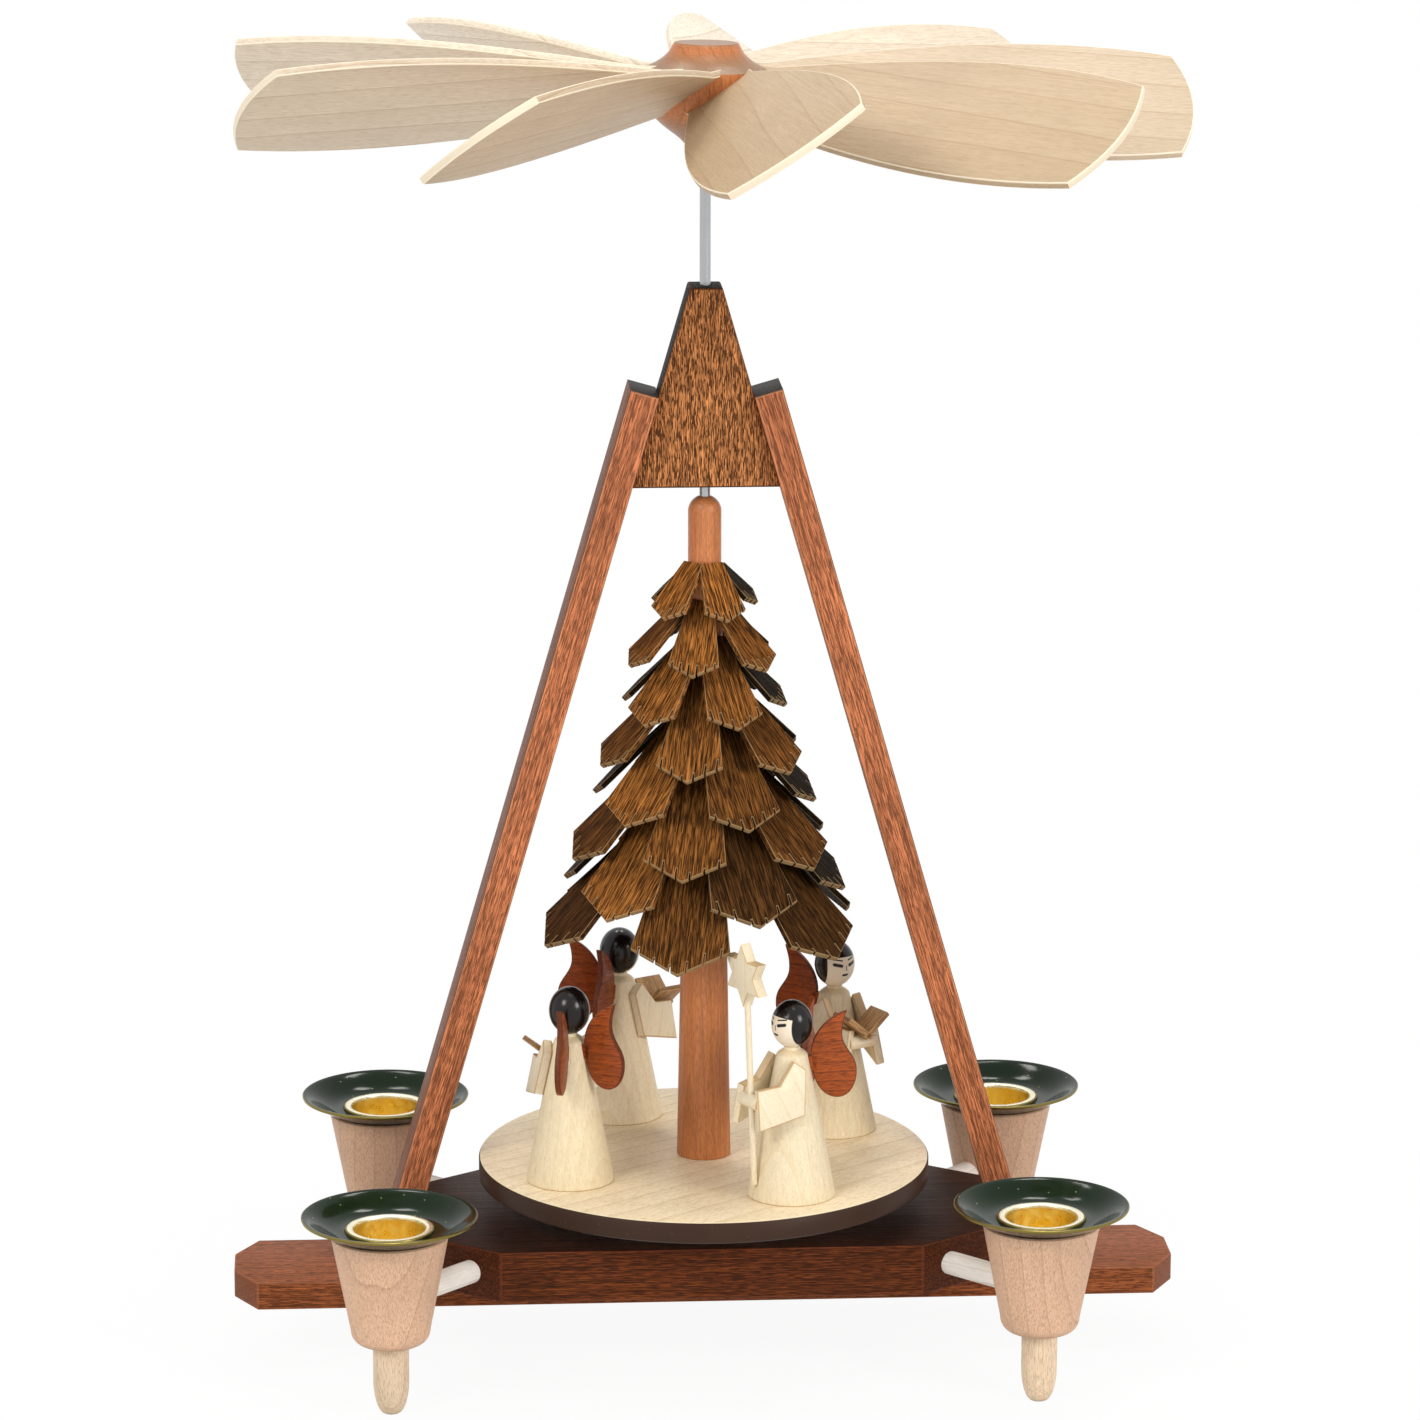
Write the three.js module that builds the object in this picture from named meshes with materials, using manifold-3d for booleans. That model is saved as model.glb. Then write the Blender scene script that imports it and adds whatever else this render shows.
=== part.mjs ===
// A table-top Christmas pyramid: a wooden stand with four candle cups, and a rotor with a nine-bladed
// fan, a shingled fir tree and four angels on a round platform. Millimetres, +Z up, front towards -Y.
// The shaft stands on the Z axis and the four foot pegs stand on Z = 0.
import * as THREE from "three";
import { mergeVertices, toCreasedNormals } from "three/addons/utils/BufferGeometryUtils.js";
import Module from "manifold-3d";

const wasm = await Module();
wasm.setup();

// Clearances
const GLUE = 0.05; // round a piece that is glued or pressed into a hole, on each side
const SHAFT_PLAY = 0.3; // round the shaft in the hole of the head
const SKIN_GAP = 0.12; // between a flat piece and the turned piece it lies on
const OVERRUN = 1; // how far a cutter passes beyond the face that it opens

// Base bar, the lower board
const BAR_BOTTOM_Z = 13;
const BAR_HEIGHT = 6;
const BAR_LENGTH = 201.4;
const BAR_DEPTH = 29;
const BAR_CLIP_X = 5;
const BAR_CLIP_Y = 9;

// Base block, the upper board
const BLOCK_HEIGHT = 11;
const BLOCK_DEPTH = 60;
const BLOCK_LENGTH = 132;
const BLOCK_FRONT_WIDTH = 89;

// Head of the A-frame
const HEAD_ABOVE_TRUNK = 2.3; // room for the trunk to turn under the head
const HEAD_HEIGHT = 42;
const HEAD_TOP_WIDTH = 6.8;
const HEAD_DEPTH = 9;

// Legs
const LEG_WIDTH = 6.1;
const LEG_DEPTH = 14;
const LEG_BELOW_HEAD = 22.6; // from the head's top down to the legs' inner top corners
const LEG_ON_BLOCK = 4.745; // from the block's ends in to the inner sides of the legs' feet

// Shaft and its lower bearing
const SHAFT_R = 1.15;
const SHAFT_POINT = 2.2;
const SHAFT_ABOVE_HEAD = 41.2;
const PIVOT_R = 3.2;
const PIVOT_SINK = 5;
const PIVOT_PROUD = 1;
const PIVOT_WELL_R = 1.7;
const PIVOT_WELL_DEPTH = 3.2;

// Turning platform
const PLATFORM_ABOVE_BLOCK = 7.1;
const PLATFORM_R = 48.2;
const PLATFORM_THICKNESS = 4.6;
const PLATFORM_EASE = 0.4;

// Trunk of the tree
const TRUNK_BASE_R = 5.75;
const TRUNK_TOP_R = 3.5;
const TRUNK_HEIGHT = 143.8;
const TRUNK_NECK_HEIGHT = 14.8; // the straight part above the cone, with its dome

// Shingle layers
const LAYERS = 8;
const SHINGLES = 6;
const SHINGLE_THICKNESS = 1.2;
const SHINGLE_LEAN = THREE.MathUtils.degToRad(45);
const SHINGLE_TURN = THREE.MathUtils.degToRad(-102.5);
const SHINGLE_OVERLAP = 0.6; // how far the roots reach into the trunk's outline before they are trimmed
const TOP_TIP_R = 13.2;
const BOTTOM_TIP_R = 35.25;
const TOP_TIP_BELOW_TRUNK = 24.9; // from the trunk's top down to the tips of the topmost layer
const BOTTOM_TIP_ABOVE_PLATFORM = 48.83;
const TIP_SAG = 0.17; // how the layers between crowd downwards
const TOP_SHINGLE_WIDTH = 9;
const BOTTOM_SHINGLE_WIDTH = 20.9;
const SHINGLE_POINT = 0.28; // length of the blunt point as a share of the width, cut at one angle
const SHINGLE_ROOT = 0.72; // half width at the trunk as a share of the trunk's radius, so roots meet
const SAW_CUTS = 4;
const SAW_CUT_DEPTH = 1.3;
const SAW_CUT_WIDTH = 0.5;
const BACK_TIP_CUT = 2.6; // how much less the shingles away from the front reach out
const BACK_DROP = 1; // and how much lower they are glued

// Fan
const SHAFT_IN_HUB = 14;
const HUB_HEIGHT = 23;
const HUB_TOP_R = 6.8;
const HUB_RIM_R = 12.9;
const HUB_RIM_HEIGHT = 17.8;
const HUB_FOOT_R = 3.1;
const HUB_RIM_BAND = 0.8;
const HUB_CROWN_BAND = 0.5;
const BLADES = 9;
const FIRST_BLADE_TURN = THREE.MathUtils.degToRad(-80.7);
const FRONT_BLADE_TURN = THREE.MathUtils.degToRad(-3.5); // the front blade sits a little aside
const BLADE_PITCH = THREE.MathUtils.degToRad(34.3);
const BLADE_DROOP = THREE.MathUtils.degToRad(1.4);
const BLADE_ABOVE_HUB_FOOT = 12.6;
const BLADE_OFFSET = 1.7;
const BLADE_THICKNESS = 1.6;
const BLADE_ROOT_S = 7.8;
const BLADE_NECK_S = 12.5;
const BLADE_CORNER_S = 97.7;
const BLADE_BULGE = 3.5;
const BLADE_ROOT_CHORD = 16;
const BLADE_TIP_CHORD = 30.8;
const BLADE_INNER_BELLY = 30.5;
const BLADE_OUTER_BELLY = 42;
const FAN_LEAN = THREE.MathUtils.degToRad(2); // the hub sits a little askew on the shaft
const FAN_LEAN_TURN = THREE.MathUtils.degToRad(55); // the side that hangs low

// Candle cups
const CUP_BEYOND_BLOCK_X = 1.75; // from the block's end out to the cup's axis
const CUP_BEYOND_BLOCK_Y = 13.17; // and from its front or back
const CUP_BELOW_DOWEL = 9.1; // from the dowel's middle down to the cup's foot
const CUP_HEIGHT = 23.7;
const CUP_TOP_R = 12.25;
const CUP_WAIST_R = 8.3;
const CUP_ROUNDING = 3;
const CUP_FOOT_R = 5.4;

// Candle trays, each with its socket
const SOCKET_R = 7.5;
const SOCKET_WALL = 0.5;
const SOCKET_DEPTH = 11.6;
const SOCKET_FLOOR = 0.8;
const SOCKET_LIP_R = 9.35;
const SOCKET_LIP_HEIGHT = 1.3;
const SOCKET_LIP_EASE = 0.4;
const TRAY_R = 18.3;
const TRAY_RISE = 3.9;
const TRAY_SEAT_R = 10.4;
const TRAY_THICKNESS = 0.6;
const TRAY_EDGE = 0.5;
const TRAY_EDGE_DROP = 0.1;

// Foot pegs and the dowels that carry the cups
const PEG_R = 3.75;
const PEG_SINK = 5.5;
const PEG_TIP_R = 1.3;
const PEG_TAPER_HEIGHT = 7;
const DOWEL_R = 2.5;
const DOWEL_TURN = THREE.MathUtils.degToRad(46);
const DOWEL_IN_BLOCK = 6;
const DOWEL_IN_CUP = 4.2;

// Angels
const ANGELS = 4;
const FIRST_ANGEL_TURN = THREE.MathUtils.degToRad(-60.5);
const ANGEL_RING_R = 33.7;
const ANGEL_TURNS = [0, 0, 0, -9].map(THREE.MathUtils.degToRad); // how far each is glued askew
const SKIRT_R = 9.3;
const SHOULDER_Z = 30.9;
const SHOULDER_R = 3.2;
const NECK_R = 1.7;
const NECK_HEIGHT = 1.5;
const NECK_FLARE = 0.8;
const NECK_FLARE_RISE = 0.6;
const NECK_CORNER = 0.2;
const HEAD_R = 4.35;
const HEAD_HALF_HEIGHT = 5.1;
const WING_SPREAD = THREE.MathUtils.degToRad(34);
const WING_THICKNESS = 1.2;
const WING_WIDTH = 9.6;
const WING_HEIGHT = 18.8;
const WING_BELOW_SHOULDER = 9.6;
const WING_ROOT_R = 3.9;
const WING_TONGUE_BELOW_SHOULDER = 3.7;
const WING_TONGUE_HEIGHT = 3;
const WING_TONGUE_OVERLAP = 1.2; // how far the tongues run into the wings
const SLEEVE_THICKNESS = 2;
const SLEEVE_TOE_IN = THREE.MathUtils.degToRad(15);
const SLEEVE_BELOW_SHOULDER = 0.2;
const SLEEVE_TOP_X = 1.4;
const SLEEVE_BACK_X = -0.4;
const SLEEVE_REACH = 9.8;
const SLEEVE_SLANT = 2; // how much lower the sleeve's back corner is than its top
const SLEEVE_HEM_RISE = 2.6;
const ELBOW_BELOW_SHOULDER = 5.7;
const ELBOW_CORNER_X = 0.4;
const ELBOW_CORNER_RISE = 0.6;
const CUFF_BELOW_SHOULDER = 14.3;
const UPPER_ARM_WIDTH = 5.2;
const HAND_R = 1.5;
const HAND_PAST_SLEEVE = 0.4;
const HAND_BELOW_SHOULDER = 8.9;
const BOOK_LENGTH = 6.2;
const BOOK_COVER = 7;
const BOOK_THICKNESS = 1.1;
const BOOK_SPINE = 0.5; // how far each cover passes beyond the fold
const BOOK_IN_HANDS = 0.2;
const BOOK_OPENING = THREE.MathUtils.degToRad(40);
const STAFF_R = 0.65;
const STAFF_LEAN = THREE.MathUtils.degToRad(2.6);
const STAFF_ABOVE_PLATFORM = 3.6;
const STAFF_ABOVE_SHOULDER = 15.1;
const STAR_ABOVE_STAFF = 3.4; // from the staff's top up to the star's middle
const STAR_R = 6.8;
const STAR_INNER_R = 3.8;
const STAR_THICKNESS = 2.4;

// Places that follow from the sizes above, from the table up
const BLOCK_BOTTOM_Z = BAR_BOTTOM_Z + BAR_HEIGHT;
const BLOCK_TOP_Z = BLOCK_BOTTOM_Z + BLOCK_HEIGHT;
const PIVOT_TOP_Z = BLOCK_TOP_Z + PIVOT_PROUD;
const SHAFT_BOTTOM_Z = PIVOT_TOP_Z - PIVOT_WELL_DEPTH + SKIN_GAP;
const PLATFORM_TOP_Z = BLOCK_TOP_Z + PLATFORM_ABOVE_BLOCK + PLATFORM_THICKNESS;
const TRUNK_TOP_Z = PLATFORM_TOP_Z + TRUNK_HEIGHT;
const TRUNK_CONE_HEIGHT = TRUNK_HEIGHT - TRUNK_NECK_HEIGHT;
const TOP_TIP_Z = TRUNK_TOP_Z - TOP_TIP_BELOW_TRUNK;
const BOTTOM_TIP_Z = PLATFORM_TOP_Z + BOTTOM_TIP_ABOVE_PLATFORM;
const HEAD_BOTTOM_Z = TRUNK_TOP_Z + HEAD_ABOVE_TRUNK;
const HEAD_TOP_Z = HEAD_BOTTOM_Z + HEAD_HEIGHT;
const LEG_TOP_Z = HEAD_TOP_Z - LEG_BELOW_HEAD;
const LEG_FOOT_X = BLOCK_LENGTH / 2 - LEG_ON_BLOCK;
const LEG_TILT = Math.atan2(LEG_FOOT_X - HEAD_TOP_WIDTH / 2, HEAD_TOP_Z - BLOCK_TOP_Z);
const SHAFT_TOP_Z = HEAD_TOP_Z + SHAFT_ABOVE_HEAD;
const HUB_BOTTOM_Z = SHAFT_TOP_Z - SHAFT_IN_HUB;
const BLADE_Z = HUB_BOTTOM_Z + BLADE_ABOVE_HUB_FOOT;
const CUP_X = BLOCK_LENGTH / 2 + CUP_BEYOND_BLOCK_X;
const CUP_Y = BLOCK_DEPTH / 2 + CUP_BEYOND_BLOCK_Y;
const DOWEL_Z = BLOCK_BOTTOM_Z + BLOCK_HEIGHT / 2;
const CUP_BOTTOM_Z = DOWEL_Z - CUP_BELOW_DOWEL;
const CUP_TOP_Z = CUP_BOTTOM_Z + CUP_HEIGHT;
const SOCKET_LIP_Z = CUP_TOP_Z + SOCKET_LIP_HEIGHT;
const SOCKET_FLOOR_Z = SOCKET_LIP_Z - SOCKET_DEPTH;

// Heights on an angel, above the platform
const NECK_TOP_Z = SHOULDER_Z + NECK_HEIGHT;
const WING_BOTTOM_Z = SHOULDER_Z - WING_BELOW_SHOULDER;
const WING_TONGUE_Z = SHOULDER_Z - WING_TONGUE_BELOW_SHOULDER;
const SLEEVE_TOP_Z = SHOULDER_Z - SLEEVE_BELOW_SHOULDER;
const ELBOW_Z = SHOULDER_Z - ELBOW_BELOW_SHOULDER;
const CUFF_BOTTOM_Z = SHOULDER_Z - CUFF_BELOW_SHOULDER;
const HAND_X = SLEEVE_REACH + HAND_PAST_SLEEVE;
const HAND_Z = SHOULDER_Z - HAND_BELOW_SHOULDER;
const STAFF_TOP_Z = SHOULDER_Z + STAFF_ABOVE_SHOULDER;
const STAR_Z = STAFF_TOP_Z + STAR_ABOVE_STAFF;

// Facets round turned pieces
const FINE = 32;
const MEDIUM = 24;
const COARSE = 16;

const WOOD = { roughness: 0.62, metalness: 0 };
const FINISHES = {
  barWood: { color: 0x8f4a33, ...WOOD },
  blockWood: { color: 0x5d2a1f, ...WOOD },
  legWood: { color: 0xb2653f, ...WOOD },
  headWood: { color: 0x8c5232, ...WOOD },
  trunkWood: { color: 0xb87340, ...WOOD },
  shingleWood: { color: 0x6b4526, ...WOOD },
  bladeWood: { color: 0xd8c4a0, ...WOOD },
  platformWood: { color: 0xdcc49a, ...WOOD },
  hubWood: { color: 0xc07a45, ...WOOD },
  cupWood: { color: 0xd2ab88, ...WOOD },
  pegWood: { color: 0xdcb684, ...WOOD },
  dowelWood: { color: 0xeee6d8, ...WOOD },
  skirtWood: { color: 0xe6d3a4, ...WOOD },
  paleWood: { color: 0xe8d6b0, ...WOOD },
  faceWood: { color: 0xeedcc0, ...WOOD },
  wingWood: { color: 0x7d3a22, ...WOOD },
  trayEnamel: { color: 0x1f3a2c, roughness: 0.25, metalness: 0.4 },
  bearingBrass: { color: 0xc9a24a, roughness: 0.3, metalness: 1 },
  shaftSteel: { color: 0xa9abad, roughness: 0.3, metalness: 1 },
};

// Turns a closed three.js geometry into a solid, whichever way round its faces were made.
function solidOf(geometry) {
  const flat = geometry.index ? geometry.toNonIndexed() : geometry;
  const bare = new THREE.BufferGeometry();
  bare.setAttribute("position", flat.getAttribute("position"));
  const merged = mergeVertices(bare, 1e-4);
  const corners = merged.index.array;
  const kept = [];
  for (let i = 0; i < corners.length; i += 3) {
    const [a, b, c] = corners.slice(i, i + 3);
    if (a !== b && b !== c && c !== a) kept.push(a, b, c);
  }
  const build = (triangles) =>
    new wasm.Manifold(
      new wasm.Mesh({
        numProp: 3,
        vertProperties: merged.getAttribute("position").array,
        triVerts: new Uint32Array(triangles),
      }),
    );
  const made = build(kept);
  return made.volume() > 0 ? made : build(kept.reverse());
}

// One named mesh from a solid, with flat faces kept flat and turned faces smooth.
function meshOf(name, solid, finish) {
  const { vertProperties, triVerts } = solid.getMesh();
  const geometry = new THREE.BufferGeometry();
  geometry.setAttribute("position", new THREE.BufferAttribute(vertProperties, 3));
  geometry.setIndex(new THREE.BufferAttribute(triVerts, 1));
  const mesh = new THREE.Mesh(
    toCreasedNormals(geometry, THREE.MathUtils.degToRad(30)),
    new THREE.MeshStandardMaterial(FINISHES[finish]),
  );
  mesh.name = name;
  return mesh;
}

// A piece turned about Z from its closed half outline of [radius, height] corners.
function turned(outline, facets) {
  const points = outline.map(([r, z]) => new THREE.Vector2(r, z));
  points.push(points[0].clone());
  return new THREE.LatheGeometry(points, facets).rotateX(Math.PI / 2);
}

// A round bar about Z, from z = bottom to z = top.
function roundBar(radius, bottom, top, facets) {
  return turned([[0, bottom], [radius, bottom], [radius, top], [0, top]], facets);
}

// A flat piece cut to an outline of [x, y] corners, from z = 0 up to its thickness.
function flatPiece(outline, thickness) {
  const shape = new THREE.Shape(outline.map(([x, y]) => new THREE.Vector2(x, y)));
  return new THREE.ExtrudeGeometry(shape, { depth: thickness, bevelEnabled: false });
}

// A flat piece whose outline is drawn in the XZ plane, with its thickness centred on y.
function uprightPiece(outline, thickness, y) {
  return flatPiece(outline, thickness).rotateX(Math.PI / 2).translate(0, y + thickness / 2, 0);
}

function baseBar() {
  const x = BAR_LENGTH / 2;
  const y = BAR_DEPTH / 2;
  const outline = [
    [x - BAR_CLIP_X, -y],
    [x, -y + BAR_CLIP_Y],
    [x, y - BAR_CLIP_Y],
    [x - BAR_CLIP_X, y],
    [-x + BAR_CLIP_X, y],
    [-x, y - BAR_CLIP_Y],
    [-x, -y + BAR_CLIP_Y],
    [-x + BAR_CLIP_X, -y],
  ];
  const mesh = meshOf("base_bar", solidOf(flatPiece(outline, BAR_HEIGHT)), "barWood");
  mesh.position.z = BAR_BOTTOM_Z;
  return mesh;
}

// The angle at which each corner's dowel runs out from the block, in the order of CORNERS.
const CORNERS = [
  { name: "front_left", x: -1, y: -1, turn: Math.PI + DOWEL_TURN },
  { name: "front_right", x: 1, y: -1, turn: -DOWEL_TURN },
  { name: "back_right", x: 1, y: 1, turn: DOWEL_TURN },
  { name: "back_left", x: -1, y: 1, turn: Math.PI - DOWEL_TURN },
];

// How far each dowel's inner end lies from its cup's axis.
function dowelInnerReach() {
  const run = { x: Math.cos(DOWEL_TURN), y: Math.sin(DOWEL_TURN) };
  const face = { x: BLOCK_LENGTH / 2 - BLOCK_FRONT_WIDTH / 2, y: BLOCK_DEPTH / 2 - BAR_DEPTH / 2 };
  const toCup = { x: CUP_X - BLOCK_FRONT_WIDTH / 2, y: CUP_Y - BLOCK_DEPTH / 2 };
  const distance = (toCup.x * face.y + toCup.y * face.x) / (run.x * face.y + run.y * face.x);
  return distance + DOWEL_IN_BLOCK;
}

function cupRadiusAt(z) {
  const bottom = CUP_BOTTOM_Z + CUP_ROUNDING;
  const share = (z - bottom) / (CUP_HEIGHT - CUP_ROUNDING);
  return CUP_WAIST_R + share * (CUP_TOP_R - CUP_WAIST_R);
}

// The dowel in its cup's frame, where it lies along -X at its own height, grown by a clearance.
function dowelBar(clearance) {
  const outer = cupRadiusAt(DOWEL_Z) - DOWEL_IN_CUP - clearance;
  const inner = dowelInnerReach() + clearance;
  return roundBar(DOWEL_R + clearance, outer, inner, COARSE)
    .rotateY(-Math.PI / 2)
    .translate(0, 0, DOWEL_Z);
}

function baseBlock() {
  const x = BLOCK_LENGTH / 2;
  const y = BLOCK_DEPTH / 2;
  const front = BLOCK_FRONT_WIDTH / 2;
  const side = BAR_DEPTH / 2;
  const outline = [
    [front, -y],
    [x, -side],
    [x, side],
    [front, y],
    [-front, y],
    [-x, side],
    [-x, -side],
    [-front, -y],
  ];
  let block = solidOf(flatPiece(outline, BLOCK_HEIGHT).translate(0, 0, BLOCK_BOTTOM_Z));
  for (const corner of CORNERS) {
    const hole = dowelBar(GLUE).rotateZ(corner.turn).translate(corner.x * CUP_X, corner.y * CUP_Y, 0);
    block = block.subtract(solidOf(hole));
  }
  const well = roundBar(PIVOT_R + GLUE, BLOCK_TOP_Z - PIVOT_SINK, BLOCK_TOP_Z + OVERRUN, MEDIUM);
  return meshOf("base_block", block.subtract(solidOf(well)), "blockWood");
}

// The bearing cup in the block, with a conical floor that the shaft's point turns in.
function pivotCup() {
  const height = PIVOT_SINK + PIVOT_PROUD;
  const outline = [
    [0, 0],
    [PIVOT_R, 0],
    [PIVOT_R, height],
    [PIVOT_WELL_R, height],
    [PIVOT_WELL_R, height - PIVOT_WELL_DEPTH / 2],
    [0, height - PIVOT_WELL_DEPTH],
  ];
  const mesh = meshOf("pivot_cup", solidOf(turned(outline, MEDIUM)), "bearingBrass");
  mesh.position.z = BLOCK_TOP_Z - PIVOT_SINK;
  return mesh;
}

function shaft() {
  const outline = [
    [0, SHAFT_BOTTOM_Z],
    [SHAFT_R, SHAFT_BOTTOM_Z + SHAFT_POINT],
    [SHAFT_R, SHAFT_TOP_Z],
    [0, SHAFT_TOP_Z],
  ];
  return meshOf("shaft", solidOf(turned(outline, MEDIUM)), "shaftSteel");
}

// Half width of the A-frame's inside at a height, along the sides of the head and down the legs.
function frameHalfWidth(z) {
  return HEAD_TOP_WIDTH / 2 + (HEAD_TOP_Z - z) * Math.tan(LEG_TILT);
}

function headBlock() {
  const outline = [
    [-frameHalfWidth(HEAD_BOTTOM_Z), HEAD_BOTTOM_Z],
    [frameHalfWidth(HEAD_BOTTOM_Z), HEAD_BOTTOM_Z],
    [frameHalfWidth(HEAD_TOP_Z), HEAD_TOP_Z],
    [-frameHalfWidth(HEAD_TOP_Z), HEAD_TOP_Z],
  ];
  const block = solidOf(uprightPiece(outline, HEAD_DEPTH, 0));
  const low = HEAD_BOTTOM_Z - OVERRUN;
  const bore = roundBar(SHAFT_R + SHAFT_PLAY, low, HEAD_TOP_Z + OVERRUN, MEDIUM);
  return meshOf("head_block", block.subtract(solidOf(bore)), "headWood");
}

function leg(name, side) {
  const width = LEG_WIDTH / Math.cos(LEG_TILT);
  const top = frameHalfWidth(LEG_TOP_Z);
  const outline = [
    [LEG_FOOT_X, BLOCK_TOP_Z],
    [LEG_FOOT_X + width, BLOCK_TOP_Z],
    [top + LEG_WIDTH * Math.cos(LEG_TILT), LEG_TOP_Z + LEG_WIDTH * Math.sin(LEG_TILT)],
    [top, LEG_TOP_Z],
  ];
  const mirrored = outline.map(([x, z]) => [side * x, z]);
  return meshOf(name, solidOf(uprightPiece(mirrored, LEG_DEPTH, 0)), "legWood");
}

function platform() {
  const bore = SHAFT_R + GLUE;
  const outline = [
    [bore, 0],
    [PLATFORM_R, 0],
    [PLATFORM_R, PLATFORM_THICKNESS - PLATFORM_EASE],
    [PLATFORM_R - PLATFORM_EASE, PLATFORM_THICKNESS],
    [bore, PLATFORM_THICKNESS],
  ];
  const mesh = meshOf("turning_platform", solidOf(turned(outline, 2 * MEDIUM)), "platformWood");
  mesh.position.z = PLATFORM_TOP_Z - PLATFORM_THICKNESS;
  return mesh;
}

// Radius of the trunk at a height above the platform.
function trunkRadius(height) {
  const share = Math.min(height / TRUNK_CONE_HEIGHT, 1);
  return TRUNK_BASE_R + share * (TRUNK_TOP_R - TRUNK_BASE_R);
}

function trunk() {
  const bore = SHAFT_R + GLUE;
  const domeStart = TRUNK_HEIGHT - TRUNK_TOP_R;
  const outline = [
    [bore, 0],
    [TRUNK_BASE_R, 0],
    [TRUNK_TOP_R, TRUNK_CONE_HEIGHT],
    [TRUNK_TOP_R, domeStart],
  ];
  for (let step = 1; TRUNK_TOP_R * Math.cos((step * Math.PI) / 10) > bore; step += 1) {
    const angle = (step * Math.PI) / 10;
    outline.push([TRUNK_TOP_R * Math.cos(angle), domeStart + TRUNK_TOP_R * Math.sin(angle)]);
  }
  outline.push([bore, TRUNK_HEIGHT]);
  const mesh = meshOf("trunk", solidOf(turned(outline, MEDIUM)), "trunkWood");
  mesh.position.z = PLATFORM_TOP_Z;
  return mesh;
}

// The outline of one shingle: narrow at the trunk, widest at its shoulders, with a blunt sawn point.
// x runs down the shingle from the tree's axis and y across it.
function shingleOutline(rootS, rootHalf, tipS, width) {
  const half = width / 2;
  const shoulder = tipS - width * SHINGLE_POINT;
  const side = [[rootS, -rootHalf], [shoulder, -half]];
  for (let cut = 1; cut <= SAW_CUTS; cut += 1) {
    const share = (2 * cut - 1) / (2 * SAW_CUTS);
    const y = -half + width * share;
    const x = tipS - Math.abs(y) * (2 * SHINGLE_POINT);
    const slope = 2 * SHINGLE_POINT * Math.sign(y) * (SAW_CUT_WIDTH / 2);
    side.push([x + slope, y - SAW_CUT_WIDTH / 2]);
    side.push([x - SAW_CUT_DEPTH, y]);
    side.push([x - slope, y + SAW_CUT_WIDTH / 2]);
    if (cut === SAW_CUTS / 2) side.push([tipS, 0]);
  }
  return [...side, [shoulder, half], [rootS, rootHalf]];
}

// One ring of shingles, glued to each other round the trunk. Its frame's origin is where the planes of
// its shingles meet the tree's axis.
function treeLayer(index) {
  const last = LAYERS - 1;
  const between = (top, bottom) => top + (index / last) * (bottom - top);
  const tipR = between(TOP_TIP_R, BOTTOM_TIP_R);
  const tipZ = between(TOP_TIP_Z, BOTTOM_TIP_Z) - TIP_SAG * index * (last - index);
  const width = between(TOP_SHINGLE_WIDTH, BOTTOM_SHINGLE_WIDTH);
  const apexZ = tipZ + tipR * Math.tan(SHINGLE_LEAN);
  const toTrunk = (z) => trunkRadius(z - PLATFORM_TOP_Z);
  const trunkR = toTrunk(apexZ - toTrunk(apexZ) * Math.tan(SHINGLE_LEAN));
  const rootS = (trunkR - SHINGLE_OVERLAP) / Math.cos(SHINGLE_LEAN);
  const outlineTo = (reach) =>
    shingleOutline(rootS, trunkR * SHINGLE_ROOT, reach / Math.cos(SHINGLE_LEAN), width);
  const staggered = index % 2 === 0;
  const stagger = (staggered ? 0.5 : 0) * ((2 * Math.PI) / SHINGLES);
  let ring = null;
  for (let k = 0; k < SHINGLES; k += 1) {
    const atFront = k <= (staggered ? 0 : 1) || k === SHINGLES - 1;
    const shingle = solidOf(
      flatPiece(outlineTo(atFront ? tipR : tipR - BACK_TIP_CUT), SHINGLE_THICKNESS)
        .rotateY(SHINGLE_LEAN)
        .translate(0, 0, atFront ? 0 : -BACK_DROP)
        .rotateZ(SHINGLE_TURN + stagger + (k * 2 * Math.PI) / SHINGLES),
    );
    ring = ring ? ring.add(shingle) : shingle;
  }
  const reach = 3 * TRUNK_BASE_R;
  const hole = [
    [0, -reach],
    [toTrunk(apexZ - reach) + SKIN_GAP, -reach],
    [toTrunk(apexZ + reach) + SKIN_GAP, reach],
    [0, reach],
  ];
  const solid = ring.subtract(solidOf(turned(hole, MEDIUM)));
  const mesh = meshOf(`tree_layer_${index + 1}`, solid, "shingleWood");
  mesh.position.z = apexZ;
  return mesh;
}

// The blade's outline: x runs out from the fan's axis and y across the blade.
function bladeShape() {
  const belly = (BLADE_CORNER_S - BLADE_NECK_S) / 3;
  const shape = new THREE.Shape();
  shape.moveTo(BLADE_ROOT_S, BLADE_ROOT_CHORD / 2);
  shape.lineTo(BLADE_ROOT_S, -BLADE_ROOT_CHORD / 2);
  shape.lineTo(BLADE_NECK_S, -BLADE_ROOT_CHORD / 2);
  shape.bezierCurveTo(
    BLADE_NECK_S + belly,
    -BLADE_INNER_BELLY / 2,
    BLADE_CORNER_S - belly,
    -BLADE_OUTER_BELLY / 2,
    BLADE_CORNER_S,
    -BLADE_TIP_CHORD / 2,
  );
  shape.quadraticCurveTo(BLADE_CORNER_S + 2 * BLADE_BULGE, 0, BLADE_CORNER_S, BLADE_TIP_CHORD / 2);
  shape.bezierCurveTo(
    BLADE_CORNER_S - belly,
    BLADE_OUTER_BELLY / 2,
    BLADE_NECK_S + belly,
    BLADE_INNER_BELLY / 2,
    BLADE_NECK_S,
    BLADE_ROOT_CHORD / 2,
  );
  return shape;
}

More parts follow.
